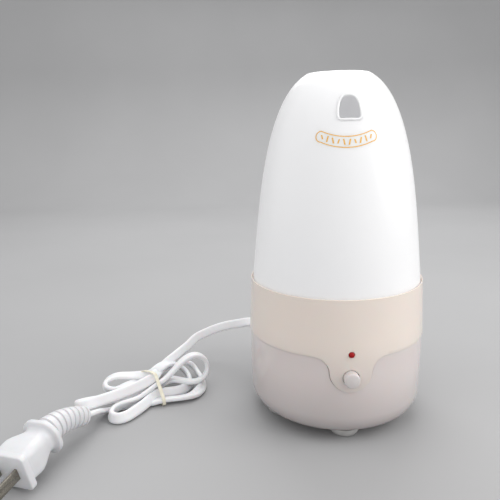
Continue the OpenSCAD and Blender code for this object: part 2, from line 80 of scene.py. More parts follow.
# %% Mesh helpers
def piece(name, points, faces):
    mesh = bpy.data.meshes.new(name)
    mesh.from_pydata([tuple(p) for p in points], [], faces)
    mesh.validate()
    obj = bpy.data.objects.new(name, mesh)
    bpy.context.scene.collection.objects.link(obj)
    return obj


def outward(obj, merge=1e-6):
    bm = bmesh.new()
    bm.from_mesh(obj.data)
    bmesh.ops.remove_doubles(bm, verts=bm.verts, dist=merge)
    bmesh.ops.recalc_face_normals(bm, faces=bm.faces)
    if bm.calc_volume(signed=True) < 0:
        bmesh.ops.reverse_faces(bm, faces=bm.faces)
    bm.to_mesh(obj.data)
    bm.free()
    return obj


def soft_edges(obj, degrees=35):
    obj.data.shade_smooth()
    obj.data.set_sharp_from_angle(angle=math.radians(degrees))
    return obj


def turned(name, section, sides=144, place=None, merge=1e-6):
    points, faces, rings = [], [], []
    for r, z in section:
        start = len(points)
        rings.append(start)
        for k in range(sides):
            a = 2 * math.pi * k / sides
            points.append((r * MM * math.cos(a), r * MM * math.sin(a), z * MM))
    n = len(section)
    for i in range(n):
        a, b = rings[i], rings[(i + 1) % n]
        for k in range(sides):
            m = (k + 1) % sides
            faces.append((a + k, a + m, b + m, b + k))
    obj = piece(name, points, faces)
    if place is not None:
        obj.data.transform(place)
    return outward(obj, merge)


def rounded(section, radius, steps=4):
    """Replaces each marked corner of a section, given as (r, z, radius or 0), with a small arc."""
    out, n = [], len(section)
    for i, (x, y, own) in enumerate(section):
        if not own:
            out.append((x, y))
            continue
        p = Vector((x, y))
        a = Vector(section[i - 1][:2]) - p
        b = Vector(section[(i + 1) % n][:2]) - p
        cut = min(own * radius, a.length * 0.45, b.length * 0.45)
        a, b = p + a.normalized() * cut, p + b.normalized() * cut
        for s in range(steps + 1):
            t = s / steps
            q = a * (1 - t) ** 2 + p * 2 * t * (1 - t) + b * t * t
            out.append((q.x, q.y))
    return out


def baked(obj, name=None):
    """The object with its modifiers applied, as a plain mesh at the origin."""
    graph = bpy.context.evaluated_depsgraph_get()
    mesh = bpy.data.meshes.new_from_object(obj.evaluated_get(graph))
    mesh.name = name or obj.name
    obj.modifiers.clear()
    obj.data = mesh
    return obj


def carve(obj, tools, operation="DIFFERENCE"):
    for tool in tools:
        cut = obj.modifiers.new("carve", "BOOLEAN")
        cut.object, cut.operation, cut.solver = tool, operation, "EXACT"
    baked(obj)
    for tool in tools:
        bpy.data.objects.remove(tool)
    return obj


def eased(obj, width, segments=2, degrees=40):
    """Breaks the sharp edges, as every moulded or machined part has them broken."""
    bevel = obj.modifiers.new("eased", "BEVEL")
    bevel.width, bevel.segments = width * MM, segments
    bevel.limit_method, bevel.angle_limit = "ANGLE", math.radians(degrees)
    bevel.use_clamp_overlap = True
    return baked(obj)


BOX_FACES = [(0, 1, 3, 2), (4, 6, 7, 5), (0, 4, 5, 1), (2, 3, 7, 6), (0, 2, 6, 4), (1, 5, 7, 3)]


def box_tool(name, low, high):
    x0, y0, z0 = (v * MM for v in low)
    x1, y1, z1 = (v * MM for v in high)
    points = [(x, y, z) for x in (x0, x1) for y in (y0, y1) for z in (z0, z1)]
    return outward(piece(name, points, BOX_FACES))


def prism_faces(n):
    """Two ends of n points each, and the sides between them."""
    ends = [tuple(range(n)), tuple(range(2 * n - 1, n - 1, -1))]
    return ends + [(i, i + n, (i + 1) % n + n, (i + 1) % n) for i in range(n)]


def front_prism(name, outline, y0, y1):
    """A flat outline in X and Z, pushed along Y."""
    points = [(x * MM, y * MM, z * MM) for y in (y0, y1) for x, z in outline]
    return outward(piece(name, points, prism_faces(len(outline))))


def arc(cx, cy, rx, ry, a0, a1, steps):
    angles = [math.radians(a0 + (a1 - a0) * i / steps) for i in range(steps + 1)]
    return [(cx + rx * math.cos(a), cy + ry * math.sin(a)) for a in angles]


print("helpers ready")

# %% [markdown]
# ## The mains lead
# The lead is a flat twin cord, 7 mm wide and 3.4 mm thick, so it bends easily one way and hardly at all
# the other. It leaves the base behind its left side, comes down to the table, and is folded into a
# hank with a plastic twist round the middle. A curve object could carry it, but a flat cord needs its wide face
# steered. So the route is a list of points with the direction that the wide face looks, joined by a
# smooth spline, and the section is laid ring by ring along it. The first eight points and
# the very last one repeat the mechanical model's lead. The rest has folds that it leaves out.

# %% The route of the lead
FLAT_W, FLAT_T = 7.0, 3.4
EXIT = (-48.2, 57.5, 34.5)
EXIT_TURN = math.radians(130)
LEAD = [
    ((-48.2, 57.5, 34.5), (-0.2, -0.3, 1)), ((-52, 61.5, 34), (-0.3, -0.6, 0.8)),
    ((-57.5, 66, 32.3), (-0.2, -0.8, 0.5)),
    ((-63, 69.5, 30), (0, -1, 0.4)), ((-71, 74, 27.2), (0.1, -1, 0.35)), ((-80.5, 76, 24.1), (0.2, -1, 0.4)),
    ((-90.5, 75, 20.5), (0.35, -0.9, 0.4)), ((-98, 71.5, 17.9), (0.5, -0.75, 0.45)),
    ((-103, 65, 14.9), (0.6, -0.6, 0.5)), ((-108, 58, 13.2), (0.6, -0.5, 0.55)),
    ((-112, 50, 12.6), (0.6, -0.4, 0.6)),
    ((-115.2, 42, 12.8), (0.55, -0.35, 0.65)), ((-117.5, 33, 13.6), (0.5, -0.35, 0.7)),
]
HANK_AT, HANK_TURN = Vector((-124.0, 13.0, 0.0)), math.radians(27)
ALONG = Vector((math.cos(HANK_TURN), math.sin(HANK_TURN), 0))
ACROSS = Vector((-math.sin(HANK_TURN), math.cos(HANK_TURN), 0))


def in_hank(a, c, z, n=(0, 0, 1)):
    """A route point from its distance along and across the hank, and its height."""
    p = HANK_AT + ALONG * a + ACROSS * c
    normal = ALONG * n[0] + ACROSS * n[1] + Vector((0, 0, n[2]))
    return ((p.x, p.y, z), tuple(normal))


VIEW, BACK, LEAN, UP = (-0.25, -0.86, 0.44), (0.25, 0.86, -0.44), (0, 0.48, 0.87), (0, 0, 1)
HANK = [in_hank(*row) for row in (
    # over the top of the bundle, then wide face out to a blunt fold above the plug's sleeve
    (8, 7, 14.8, (0.2, -0.5, 0.8)), (0, -1, 13.4, VIEW), (-11.5, -4, 11.6, VIEW),
    (-22.5, -8, 12.0, VIEW), (-33, -12, 13.0, VIEW), (-42, -15.8, 14.4, VIEW),
    (-48.5, -17.4, 14.8, (-0.5, -0.8, 0.35)), (-52, -15.6, 14.0, (-0.9, -0.3, 0.1)),
    (-52.8, -12, 12.8, (-1, 0.2, 0)), (-50.2, -8.6, 11.4, (-0.6, 0.8, -0.2)),
    (-44.5, -6.8, 10.3, BACK), (-37, -6.2, 9.4, BACK), (-28, -5, 8.4, BACK),
    (-14, -3, 5.8, BACK), (0, -1.2, 4.4, BACK),
    # the high right loop, standing up
    (6, -0.6, 7.0, (0, 0.6, -0.8)), (11, -0.6, 9.2, (0, 0.3, -1)), (15.5, -2, 9.2, (0, 0, -1)),
    (20.5, -4.5, 8.0, (0, -0.2, -1)), (27, -7.8, 6.7, (0.2, -0.2, -1)),
    (33.8, -8.0, 7.4, (0.6, -0.3, -0.8)), (38.2, -7.2, 10.8, (1, -0.3, -0.2)),
    (39.6, -6, 15.5, (1, -0.3, 0.2)), (37.6, -5, 21.0, (0.9, -0.2, 0.6)),
    (32.5, -4, 24.6, (0.3, 0, 1)), (27, -3.4, 24.2, (-0.2, 0, 1)), (20.5, -3, 20.8, (-0.5, 0.1, 0.9)),
    (13.8, -3, 15.2, (-0.5, 0.3, 0.9)), (7, -4, 11.3, (-0.3, 0.4, 0.9)), (0, -4.6, 9.2, LEAN),
    # the lower left loop, its wide face out
    (-6, -7.4, 7.6, (0, 0.6, 0.8)), (-14, -10, 5.2, (0.1, 0.8, 0.6)), (-21.5, -11.2, 5.0, (0, 1, 0.4)),
    (-28, -12.8, 5.2, (-0.4, 0.9, 0.3)), (-32.8, -16.4, 4.7, (-0.9, 0.5, 0.2)),
    (-34, -20.8, 4.1, (-1, -0.3, 0.2)), (-31.2, -24.5, 3.9, (-0.5, -0.9, 0.3)),
    (-25.5, -24.6, 3.7, VIEW), (-18, -20.6, 3.7, VIEW), (-10, -15.4, 3.9, VIEW),
    (-4, -11, 4.6, VIEW), (1, -8, 4.8, VIEW),
    # the low right loop that stays inside the high one, and back over the rear of the bundle
    (7.5, -8.4, 4.2, VIEW), (14.5, -9.4, 3.7, (0, -0.9, 0.5)), (21, -8.4, 3.7, (0.3, -0.9, 0.4)),
    (26.4, -4, 3.8, (0.9, -0.4, 0.3)), (29.2, 3, 4.4, (1, 0, 0.3)), (28.6, 9.6, 7.0, (0.8, 0.4, 0.5)),
    (24.5, 12.2, 11.4, (0.6, 0.3, 0.7)), (18.5, 11.4, 15.2, (0.1, 0, 1)),
    (12, 8.4, 16.6, (-0.1, -0.4, 0.9)), (6, 5.6, 15.8, (-0.2, -0.6, 0.7)), (0, 3.8, 13.8, VIEW),
    # the upper left loop, seen on its edge
    (-11, 9, 13.8, (0, -0.3, 1)), (-20.5, 13, 14.4, (-0.2, 0, 1)), (-26.8, 13.8, 12.8, (-0.7, 0.2, 0.7)),
    (-30.2, 10.6, 10.8, (-1, 0, 0.1)), (-29.2, 6.2, 9.6, (-0.9, -0.3, -0.4)),
    (-24, 3.6, 9.6, (-0.2, -0.4, -0.9)), (-17, 3.4, 10.4, (0.1, 0, -1)),
    (-9.5, 4.4, 10.3, (0, 0.3, -1)), (0, 5.6, 8.2, BACK),
    # the large right loop that ends flat on the table
    (10, 9, 8.8, (0, 0.9, 0.2)), (20.5, 12.6, 10.4, (0.1, 0.8, 0.6)), (29.8, 14, 12.2, (0.5, 0.4, 0.8)),
    (35.4, 13.4, 9.0, (0.9, 0.2, 0.4)), (37.2, 8.6, 4.8, (1, 0.1, 0.3)), (37.2, 0, 3.4, (1, -0.2, 0.4)),
    (34.8, -7, 3.1, (0.8, -0.5, 0.5)), (30.6, -13.4, 2.9, (0.5, -0.5, 0.8)),
    (23.6, -18.4, 2.8, (0.1, 0, 1)), (16, -18.6, 2.8, (0, 0.3, 1)), (8.5, -16.4, 2.8, (0, 0.3, 1)),
    (1, -14.6, 2.8, (0, 0.3, 1)),
    # out beneath the left side to the plug's sleeve
    (-6, -12.6, 2.0, UP), (-14, -8.6, 1.9, UP), (-24, -8, 2.1, UP), (-32, -9.6, 3.0, LEAN),
)]
TAIL = [in_hank(-38, -13.2, 5.4, LEAN),
        ((-152.8, -23.5, 9.4), (-0.2, 0.43, 0.87)), ((-157.5, -33, 12.2), (-0.2, 0.43, 0.87))]
route = LEAD + HANK + TAIL
print("route:", len(route), "points")


# %% Smooth the route and lay the section along it
def spline(points, step):
    """A centripetal spline through the points, cut into equal steps. Points carry any number of values."""
    pts = [points[0]] + list(points) + [points[-1]]
    dense = []
    for i in range(1, len(pts) - 2):
        p0, p1, p2, p3 = (Vector(pts[i + d]) for d in (-1, 0, 1, 2))
        for s in range(16):
            t = s / 16
            dense.append(0.5 * (2 * p1 + (p2 - p0) * t + (2 * p0 - 5 * p1 + 4 * p2 - p3) * t * t
                                + (3 * p1 - p0 - 3 * p2 + p3) * t ** 3))
    dense.append(Vector(pts[-1]))
    run = [0.0]
    for a, b in zip(dense, dense[1:]):
        run.append(run[-1] + (b - a).length)
    count = max(2, round(run[-1] / step))
    out, j = [], 0
    for i in range(count + 1):
        want = run[-1] * i / count
        while j < len(run) - 2 and run[j + 1] < want:
            j += 1
        t = (want - run[j]) / max(run[j + 1] - run[j], 1e-9)
        out.append((dense[j].lerp(dense[j + 1], t), j / 16 + t / 16))
    return out, run[-1]


line, total = spline([p for p, _ in route], 1.6)
centres = [p for p, _ in line]
for _ in range(3):
    centres = [centres[0]] + [(a + b * 2 + c) / 4 for a, b,
                              c in zip(centres, centres[1:], centres[2:])] + [centres[-1]]
looks = []
for _, at in line:
    i = min(int(at), len(route) - 2)
    a, b = Vector(route[i][1]).normalized(), Vector(route[i + 1][1]).normalized()
    looks.append(a.lerp(b, at - i))
for _ in range(6):
    looks = [looks[0]] + [(a + b * 2 + c) / 4 for a, b, c in zip(looks, looks[1:], looks[2:])] + [looks[-1]]
for at, (a, b, c) in enumerate(zip(centres, centres[3:], centres[6:])):
    turn = (b - a).angle(c - b, 0)


def twin_section(steps=20):
    """The flat twin section: two round cores side by side, bridged by a web with a shallow groove."""
    out = []
    for k in range(steps):
        a = 2 * math.pi * k / steps
        x = FLAT_W / 2 * math.copysign(abs(math.cos(a)) ** 0.72, math.cos(a))
        y = FLAT_T / 2 * math.copysign(abs(math.sin(a)) ** 0.62, math.sin(a))
        y *= 1 - 0.16 * math.exp(-(x / 0.75) ** 2)
        out.append((x, y))
    return out


def laid(name, centres, looks, section):
    points, faces, n = [], [], len(section)
    for i, c in enumerate(centres):
        d = (centres[min(i + 1, len(centres) - 1)] - centres[max(i - 1, 0)]).normalized()
        up = looks[i] - d * looks[i].dot(d)
        up = up.normalized() if up.length > 1e-4 else d.orthogonal().normalized()
        wide = d.cross(up).normalized()
        points += [(c + wide * x + up * y) * MM for x, y in section]
    for i in range(len(centres) - 1):
        for k in range(n):
            m = (k + 1) % n
            faces.append((i * n + k, i * n + m, (i + 1) * n + m, (i + 1) * n + k))
    faces += [tuple(range(n)), tuple(range((len(centres) - 1) * n, len(centres) * n))]
    return soft_edges(outward(piece(name, points, faces)), 50)


lead = laid("mains_lead", centres, looks, twin_section())
print("lead mesh:", len(lead.data.polygons), "faces")

# %% [markdown]
# ## Finishes
# Every finish here is procedural. A moulded plastic is never one flat colour: it has slow drifts of
# shade, fine grain in its gloss and a faint ripple. `finish` builds that once from noise on Object
# coordinates. Anything that is the same all over, such as metalness or coat, sits on the shader itself.

# %% A finish builder
def finish(name, dark, pale, rough=(0.3, 0.4), grain=60.0, ripple=0.02, depth=0.0002, stretch=(1, 1, 1),
           fine=900.0, painted_shade=None, **shader):
    material = bpy.data.materials.new(name)
    material.use_nodes = True
    tree = material.node_tree
    nodes, links = tree.nodes, tree.links
    principled = nodes["Principled BSDF"]
    where = nodes.new("ShaderNodeTexCoord")
    place = nodes.new("ShaderNodeMapping")
    place.inputs["Scale"].default_value = stretch
    links.new(where.outputs["Object"], place.inputs["Vector"])
    drift = nodes.new("ShaderNodeTexNoise")
    drift.inputs["Scale"].default_value, drift.inputs["Detail"].default_value = grain, 3.0
    links.new(place.outputs["Vector"], drift.inputs["Vector"])
    shade = nodes.new("ShaderNodeValToRGB")
    shade.color_ramp.elements[0].position, shade.color_ramp.elements[1].position = 0.3, 0.7
    shade.color_ramp.elements[0].color, shade.color_ramp.elements[1].color = (*dark, 1), (*pale, 1)
    links.new(drift.outputs["Fac"], shade.inputs["Fac"])
    colour = shade.outputs["Color"]
    # An optional painted shade: the colour is darkened towards the bottom of a part, between two heights, where
    # less light falls.
    if painted_shade:
        low, high, shade_colour = painted_shade
        height = nodes.new("ShaderNodeSeparateXYZ")
        links.new(where.outputs["Object"], height.inputs["Vector"])
        ease = nodes.new("ShaderNodeMapRange")
        ease.interpolation_type = "SMOOTHSTEP"
        ease.inputs["From Min"].default_value, ease.inputs["From Max"].default_value = low, high
        links.new(height.outputs["Z"], ease.inputs["Value"])
        blend = nodes.new("ShaderNodeMix")
        blend.data_type, blend.blend_type = "RGBA", "MULTIPLY"
        blend.inputs[0].default_value = 1.0
        tone = nodes.new("ShaderNodeValToRGB")
        tone.color_ramp.elements[0].color, tone.color_ramp.elements[1].color = (*shade_colour, 1), (1, 1, 1, 1)
        links.new(ease.outputs["Result"], tone.inputs["Fac"])
        links.new(colour, blend.inputs[6])
        links.new(tone.outputs["Color"], blend.inputs[7])
        colour = blend.outputs[2]
    links.new(colour, principled.inputs["Base Color"])
    speck = nodes.new("ShaderNodeTexNoise")
    speck.inputs["Scale"].default_value, speck.inputs["Detail"].default_value = fine, 2.0
    links.new(place.outputs["Vector"], speck.inputs["Vector"])
    gloss = nodes.new("ShaderNodeMapRange")
    gloss.inputs["To Min"].default_value, gloss.inputs["To Max"].default_value = rough
    links.new(speck.outputs["Fac"], gloss.inputs["Value"])
    links.new(gloss.outputs["Result"], principled.inputs["Roughness"])
    bump = nodes.new("ShaderNodeBump")
    bump.inputs["Strength"].default_value, bump.inputs["Distance"].default_value = ripple, depth
    links.new(speck.outputs["Fac"], bump.inputs["Height"])
    links.new(bump.outputs["Normal"], principled.inputs["Normal"])
    for socket, value in shader.items():
        principled.inputs[socket.replace("_", " ")].default_value = value
    return material


def wear(obj, material):
    obj.data.materials.clear()
    obj.data.materials.append(material)
    return obj


# The casing white carries a painted shade: from 66 mm down to 28 mm it darkens towards a cool grey.
white_casing = finish("white_casing", (0.785, 0.695, 0.63), (0.82, 0.73, 0.665), (0.15, 0.24), 18, 0.05,
                      0.00008,
                      painted_shade=(0.028, 0.066, (0.78, 0.795, 0.83)),
                      fine=260, Coat_Weight=0.3, Coat_Roughness=0.06, IOR=1.49,
                      Subsurface_Weight=0.12, Subsurface_Scale=0.004)
# The lower shell wears a darker copy of the same casing white, which is painted shade for the lower half of the
# base; below 46 mm a painted shade darkens it further towards the table.
shell_casing = finish("shell_casing", (0.655, 0.59, 0.575), (0.69, 0.625, 0.61), (0.15, 0.24), 18, 0.05,
                      0.00008,
                      painted_shade=(0.004, 0.046, (0.68, 0.69, 0.70)),
                      fine=260, Coat_Weight=0.3, Coat_Roughness=0.06, IOR=1.49,
                      Subsurface_Weight=0.12, Subsurface_Scale=0.004)
white_lead = finish("white_lead", (0.80, 0.805, 0.825), (0.85, 0.855, 0.87), (0.36, 0.5), 70, 0.12, 0.0002,
                    Subsurface_Weight=0.1, Subsurface_Scale=0.002)
white_plug = finish("white_plug", (0.66, 0.665, 0.685), (0.71, 0.715, 0.735), (0.34, 0.46), 60, 0.1, 0.0002,
                    Subsurface_Weight=0.1, Subsurface_Scale=0.003)
cream_tie = finish("cream_tie", (0.74, 0.70, 0.56), (0.84, 0.80, 0.66), (0.3, 0.45), 300, 0.1, 0.0001)
# The rubber grey is darkened as painted shade, for the shadow under the base where the feet sit.
grey_rubber = finish("grey_rubber", (0.40, 0.395, 0.385), (0.48, 0.475, 0.465), (0.5, 0.68), 120, 0.2, 0.0002)
nickel = finish("nickel_plate", (0.26, 0.245, 0.21), (0.36, 0.335, 0.29), (0.2, 0.34), 90, 0.15, 0.0001,
                stretch=(1, 1, 6), Metallic=1.0)
wear(lead, white_lead)
print("finishes:", len(bpy.data.materials))

# %% [markdown]
# ## The twist round the hank
# A thin ring of plastic holds the folded lead. It is one band that follows the outline of the bundle,
# a little rounded at the corners, with its two ends twisted together. A band is a sweep of a flat
# section along a closed path, and a closed path needs no end caps.

# %% The twist
def band(name, loop, width, thick, axis):
    """A closed flat band through the points of loop; axis is the direction of its width."""
    points, faces, n = [], [], len(loop)
    middle = sum(loop, Vector()) / n
    for i, p in enumerate(loop):
        d = (loop[(i + 1) % n] - loop[i - 1]).normalized()
        out = d.cross(axis).normalized()
        if out.dot(p - middle) < 0:
            out = -out
        for w, t in ((-1, 0), (-0.8, 1), (0.8, 1), (1, 0), (0.8, -1), (-0.8, -1)):
            points.append((p + axis * (w * width / 2) + out * (t * thick / 2)) * MM)
    for i in range(n):
        j = (i + 1) % n
        for k in range(6):
            m = (k + 1) % 6
            faces.append((i * 6 + k, i * 6 + m, j * 6 + m, j * 6 + k))
    return soft_edges(outward(piece(name, points, faces)), 50)


corners = [(-18.9, 0.5), (-18.9, 4.6), (-7.4, 13.0), (-1.0, 17.9), (7.4, 16.8), (9.7, 10.4), (6.4, 3.4),
           (-1.2, 0.5)]
for _ in range(3):
    nexts = corners[1:] + corners[:1]
    corners = [(a[0] + (b[0] - a[0]) * t, a[1] + (b[1] - a[1]) * t) for a, b in zip(corners, nexts)
               for t in (0.16, 0.84)]
ring = [HANK_AT + ACROSS * c + Vector((0, 0, z)) + ALONG * (2.0 - 0.6 * max(0.0, c + 3)) for c, z in corners]
tie = wear(band("lead_twist", ring, 2.4, 0.6, ALONG), cream_tie)
print("twist round", len(ring), "points")

# %% [markdown]
# ## Ribbed sleeves, made with nodes
# Where the lead leaves the base, and where it enters the plug, a soft tapered sleeve keeps it from
# kinking. Each sleeve is a tube along a short bent path, wide at its root and narrow at its tip, with
# evenly spaced ribs. It follows a rule, so Geometry Nodes make it: a grid is rolled round a curve, and
# its radius is a taper plus a square-ish wave. The same tree makes both sleeves from different inputs.

# %% A small toolbox for node trees
def new_tree(name, **labels):
    """A tree with inputs listed by kind. Their values come with each use of the tree."""
    tree = bpy.data.node_groups.new(name, "GeometryNodeTree")
    tree.interface.new_socket("Geometry", in_out="INPUT", socket_type="NodeSocketGeometry")
    keys = {}
    for kind, names in labels.items():
        for label in names:
            socket = tree.interface.new_socket(label, in_out="INPUT", socket_type="NodeSocket" + kind)
            keys[label] = socket.identifier
    tree.interface.new_socket("Geometry", in_out="OUTPUT", socket_type="NodeSocketGeometry")
    return tree, tree.nodes.new("NodeGroupInput"), tree.nodes.new("NodeGroupOutput"), keys


def plug_in(tree, socket, value):
    if isinstance(value, bpy.types.NodeSocket):
        tree.links.new(value, socket)
    else:
        socket.default_value = value


def sum_up(tree, operation, *values):
    node = tree.nodes.new("ShaderNodeMath")
    node.operation = operation
    for socket, value in zip(node.inputs, values):
        plug_in(tree, socket, value)
    return node.outputs[0]


def vector_sum(tree, operation, a, b, scale=None):
    node = tree.nodes.new("ShaderNodeVectorMath")
    node.operation = operation
    plug_in(tree, node.inputs[0], a)
    if b is not None:
        plug_in(tree, node.inputs[1], b)
    if scale is not None:
        plug_in(tree, node.inputs["Scale"], scale)
    return node.outputs[0]


def step(tree, kind, links=None, **settings):
    node = tree.nodes.new(kind)
    for key, value in settings.items():
        setattr(node, key, value)
    for label, value in (links or {}).items():
        plug_in(tree, node.inputs[label], value)
    return node


def makers(tree):
    """Short names for one tree: its nodes, then its plus, minus, times, sine and cosine."""
    def node(kind, links=None, **settings):
        return step(tree, kind, links, **settings)

    def sums(operation):
        return lambda *values: sum_up(tree, operation, *values)
    return [node] + [sums(word) for word in ("ADD", "SUBTRACT", "MULTIPLY", "SINE", "COSINE")]


def finished(tree, result, out, material_socket):
    real = step(tree, "GeometryNodeRealizeInstances", {"Geometry": result})
    coat = step(tree, "GeometryNodeSetMaterial", {"Geometry": real.outputs[0], "Material": material_socket})
    tree.links.new(coat.outputs[0], out.inputs[0])


def grown(name, tree, keys, values):
    """Runs a node tree on an empty object with these named inputs, and keeps the plain mesh."""
    obj = piece(name, [], [])
    modifier = obj.modifiers.new("rule", "NODES")
    modifier.node_group = tree
    for label, value in values.items():
        modifier[keys[label]] = value
    obj.update_tag()
    baked(obj)
    return obj


print("node toolbox ready")

# %% The sleeve's rule
SLEEVE, s_in, s_out, SLEEVE_KEYS = new_tree(
    "ribbed_sleeve", Vector=["Root", "Middle", "Tip"], Int=["Rings", "Sides"], Material=["Material"],
    Float=["Root radius", "Tip radius", "Ribs", "Rib depth", "Squash"])
g = {o.name: o for o in s_in.outputs}
node, plus, minus, times, sine, cosine = makers(SLEEVE)
grid = node("GeometryNodeMeshGrid", {"Size X": 1.0, "Size Y": 1.0, "Vertices X": g["Rings"],
        "Vertices Y": g["Sides"]})
at = node("ShaderNodeSeparateXYZ", {"Vector": node("GeometryNodeInputPosition").outputs[0]})
t = plus(at.outputs["X"], 0.5)
# the first and last 3% of the rows close the ends
cap = sum_up(SLEEVE, "MINIMUM", times(sum_up(SLEEVE, "MINIMUM", t, minus(1.0, t)), 30.0), 1.0)
along = node("ShaderNodeMapRange", {"Value": t, "From Min": 0.03, "From Max": 0.97}, clamp=True).outputs[0]
turn = times(plus(at.outputs["Y"], 0.5), 2 * math.pi)
path = node("GeometryNodeCurveQuadraticBezier", {"Start": g["Root"], "Middle": g["Middle"], "End": g["Tip"],
        "Resolution": 48})
upright = node("GeometryNodeSetCurveNormal", {"Curve": path.outputs[0]}, mode="Z_UP") if hasattr(bpy.types,
        "GeometryNodeSetCurveNormal") else path
spot = node("GeometryNodeSampleCurve", {"Curves": upright.outputs[0], "Factor": along}, mode="FACTOR")
taper = node("ShaderNodeMapRange", {"Value": along, "To Min": g["Root radius"],
        "To Max": g["Tip radius"]}).outputs[0]
phase = sum_up(SLEEVE, "FRACT", times(along, g["Ribs"]))
notch = sum_up(SLEEVE, "MINIMUM", 1.0, times(7.0, sum_up(SLEEVE, "ABSOLUTE", minus(phase, 0.5))))
radius = times(cap, minus(taper, times(g["Rib depth"], minus(1.0, notch))))
across = vector_sum(SLEEVE, "CROSS_PRODUCT", spot.outputs["Tangent"], spot.outputs["Normal"])
ring_a = vector_sum(SLEEVE, "SCALE", across, None, times(radius, cosine(turn)))
ring_b = vector_sum(SLEEVE, "SCALE", spot.outputs["Normal"], None,
                    times(g["Squash"], times(radius, sine(turn))))
placed = vector_sum(SLEEVE, "ADD", spot.outputs["Position"], vector_sum(SLEEVE, "ADD", ring_a, ring_b))
rolled = node("GeometryNodeSetPosition", {"Geometry": grid.outputs[0], "Position": placed})
shut = node("GeometryNodeMergeByDistance", {"Geometry": rolled.outputs[0], "Distance": 0.00001})
finished(SLEEVE, shut.outputs[0], s_out, g["Material"])
print("sleeve tree:", len(SLEEVE.nodes), "nodes")

# %% Both sleeves
TAIL_END = Vector(TAIL[-1][0])
PLUG_FACE = Vector((-181.5, -85, 11.9))
PLUG_TURN = (Matrix.Rotation(math.radians(248), 3, "Z") @ Matrix.Rotation(math.radians(11), 3, "Y")
             @ Matrix.Rotation(math.radians(5), 3, "X"))
PLUG_LONG = 27.0
sleeve_root = PLUG_FACE + PLUG_TURN @ Vector((-PLUG_LONG - 1.2, 0, 0))
sleeve_bend = sleeve_root + PLUG_TURN @ Vector((-13, 0, 0))
plug_sleeve = grown("plug_sleeve", SLEEVE, SLEEVE_KEYS, {
    "Root": sleeve_root * MM, "Middle": sleeve_bend * MM, "Tip": TAIL_END * MM, "Root radius": 0.0086,
    "Tip radius": 0.0058, "Ribs": 8.0, "Rib depth": 0.0017, "Squash": 0.92, "Rings": 180, "Sides": 36,
    "Material": white_plug})
gland_dir = Vector((math.cos(EXIT_TURN), math.sin(EXIT_TURN), 0))
gland_height = Vector((0, 0, EXIT[2]))
gland_root, gland_tip = gland_dir * 53.5 + gland_height, gland_dir * 75.2 + gland_height
gland_sleeve = grown("gland_sleeve", SLEEVE, SLEEVE_KEYS, {
    "Root": gland_root * MM, "Middle": (gland_root + gland_tip) / 2 * MM, "Tip": gland_tip * MM,
    "Root radius": 0.0059, "Tip radius": 0.0044, "Ribs": 6.0, "Rib depth": 0.0005, "Squash": 1.0,
    "Rings": 120, "Sides": 36, "Material": white_lead})
for sleeve in (plug_sleeve, gland_sleeve):
    soft_edges(outward(sleeve, 1e-6), 50)
    print(sleeve.name, len(sleeve.data.polygons), "faces")

# %% [markdown]
# ## The frosted dome
# The dome is the piece that the eye goes to, and its shape follows one rule: its radius is a slow taper
# times a superellipse that turns the shoulder over into a small flat crown. Geometry Nodes turn that
# rule into a surface: a flat grid is bent round the axis, its columns become angles and its rows
# heights, and the last rows run in over the crown. Solidify then gives the moulded wall its thickness.

# %% The dome's rule
FOOT_R, TAPER, BASE_Z, SPAN, POWER = 52.6, 11.7, 85.0, 129.0, 3.75
DOME, d_in, d_out, DOME_KEYS = new_tree(
    "dome_rule", Int=["Rows", "Sides"], Material=["Material"],
    Float=["Foot radius", "Taper", "Base height", "Span", "Power", "Foot height", "Top height", "Crown"])
g = {o.name: o for o in d_in.outputs}
node, plus, minus, times, sine, cosine = makers(DOME)
grid = node("GeometryNodeMeshGrid", {"Size X": 1.0, "Size Y": 1.0, "Vertices X": g["Sides"],
        "Vertices Y": g["Rows"]})
at = node("ShaderNodeSeparateXYZ", {"Vector": node("GeometryNodeInputPosition").outputs[0]})
angle = times(plus(at.outputs["X"], 0.5), 2 * math.pi)
rise = node("ShaderNodeMapRange", {"Value": at.outputs["Y"], "From Min": -0.5, "From Max": 0.36},
            clamp=True).outputs[0]
inward = node("ShaderNodeMapRange", {"Value": at.outputs["Y"], "From Min": 0.36, "From Max": 0.5},
              clamp=True).outputs[0]
climb = sine(times(rise, math.pi / 2))
height = node("ShaderNodeMapRange", {"Value": climb, "To Min": g["Foot height"],
        "To Max": g["Top height"]}).outputs[0]
u = sum_up(DOME, "DIVIDE", minus(height, g["Base height"]), g["Span"])
swell = sum_up(DOME, "POWER", minus(1.0, sum_up(DOME, "POWER", u, g["Power"])), 1 / 3)
reach = times(swell, minus(g["Foot radius"], times(g["Taper"], u)))
left_over = minus(1.0, inward)
reach = times(reach, left_over)
crown = times(g["Crown"], minus(1.0, times(left_over, left_over)))
spot = node("ShaderNodeCombineXYZ", {
    "X": times(reach, cosine(angle)),
    "Y": times(reach, sine(angle)),
    "Z": plus(height, crown)})
bent = node("GeometryNodeSetPosition", {"Geometry": grid.outputs[0], "Position": spot.outputs[0]})
shut = node("GeometryNodeMergeByDistance", {"Geometry": bent.outputs[0], "Distance": 0.00002})
finished(DOME, shut.outputs[0], d_out, g["Material"])
print("dome tree:", len(DOME.nodes), "nodes")


# %% The dome's plastic
def frosted(name):
    """Frosted polypropylene: all scattering, a fine grain, and a faint painted glow that stands in for light
    coming through the wall.
    """
    return finish(name, (0.875, 0.875, 0.89), (0.90, 0.90, 0.91), (0.26, 0.36), 14, 0.05, 0.00012, fine=420,
                  IOR=1.49, Subsurface_Weight=1.0, Subsurface_Scale=0.004, Subsurface_Radius=(1.0, 1.0, 1.0),
                  # The emission is painted light: a faint glow that brightens the dome all over, though it is
                  # no lamp.
                  Emission_Color=(0.98, 0.98, 1.0, 1), Emission_Strength=0.08,
                  Coat_Weight=0.15, Coat_Roughness=0.12)


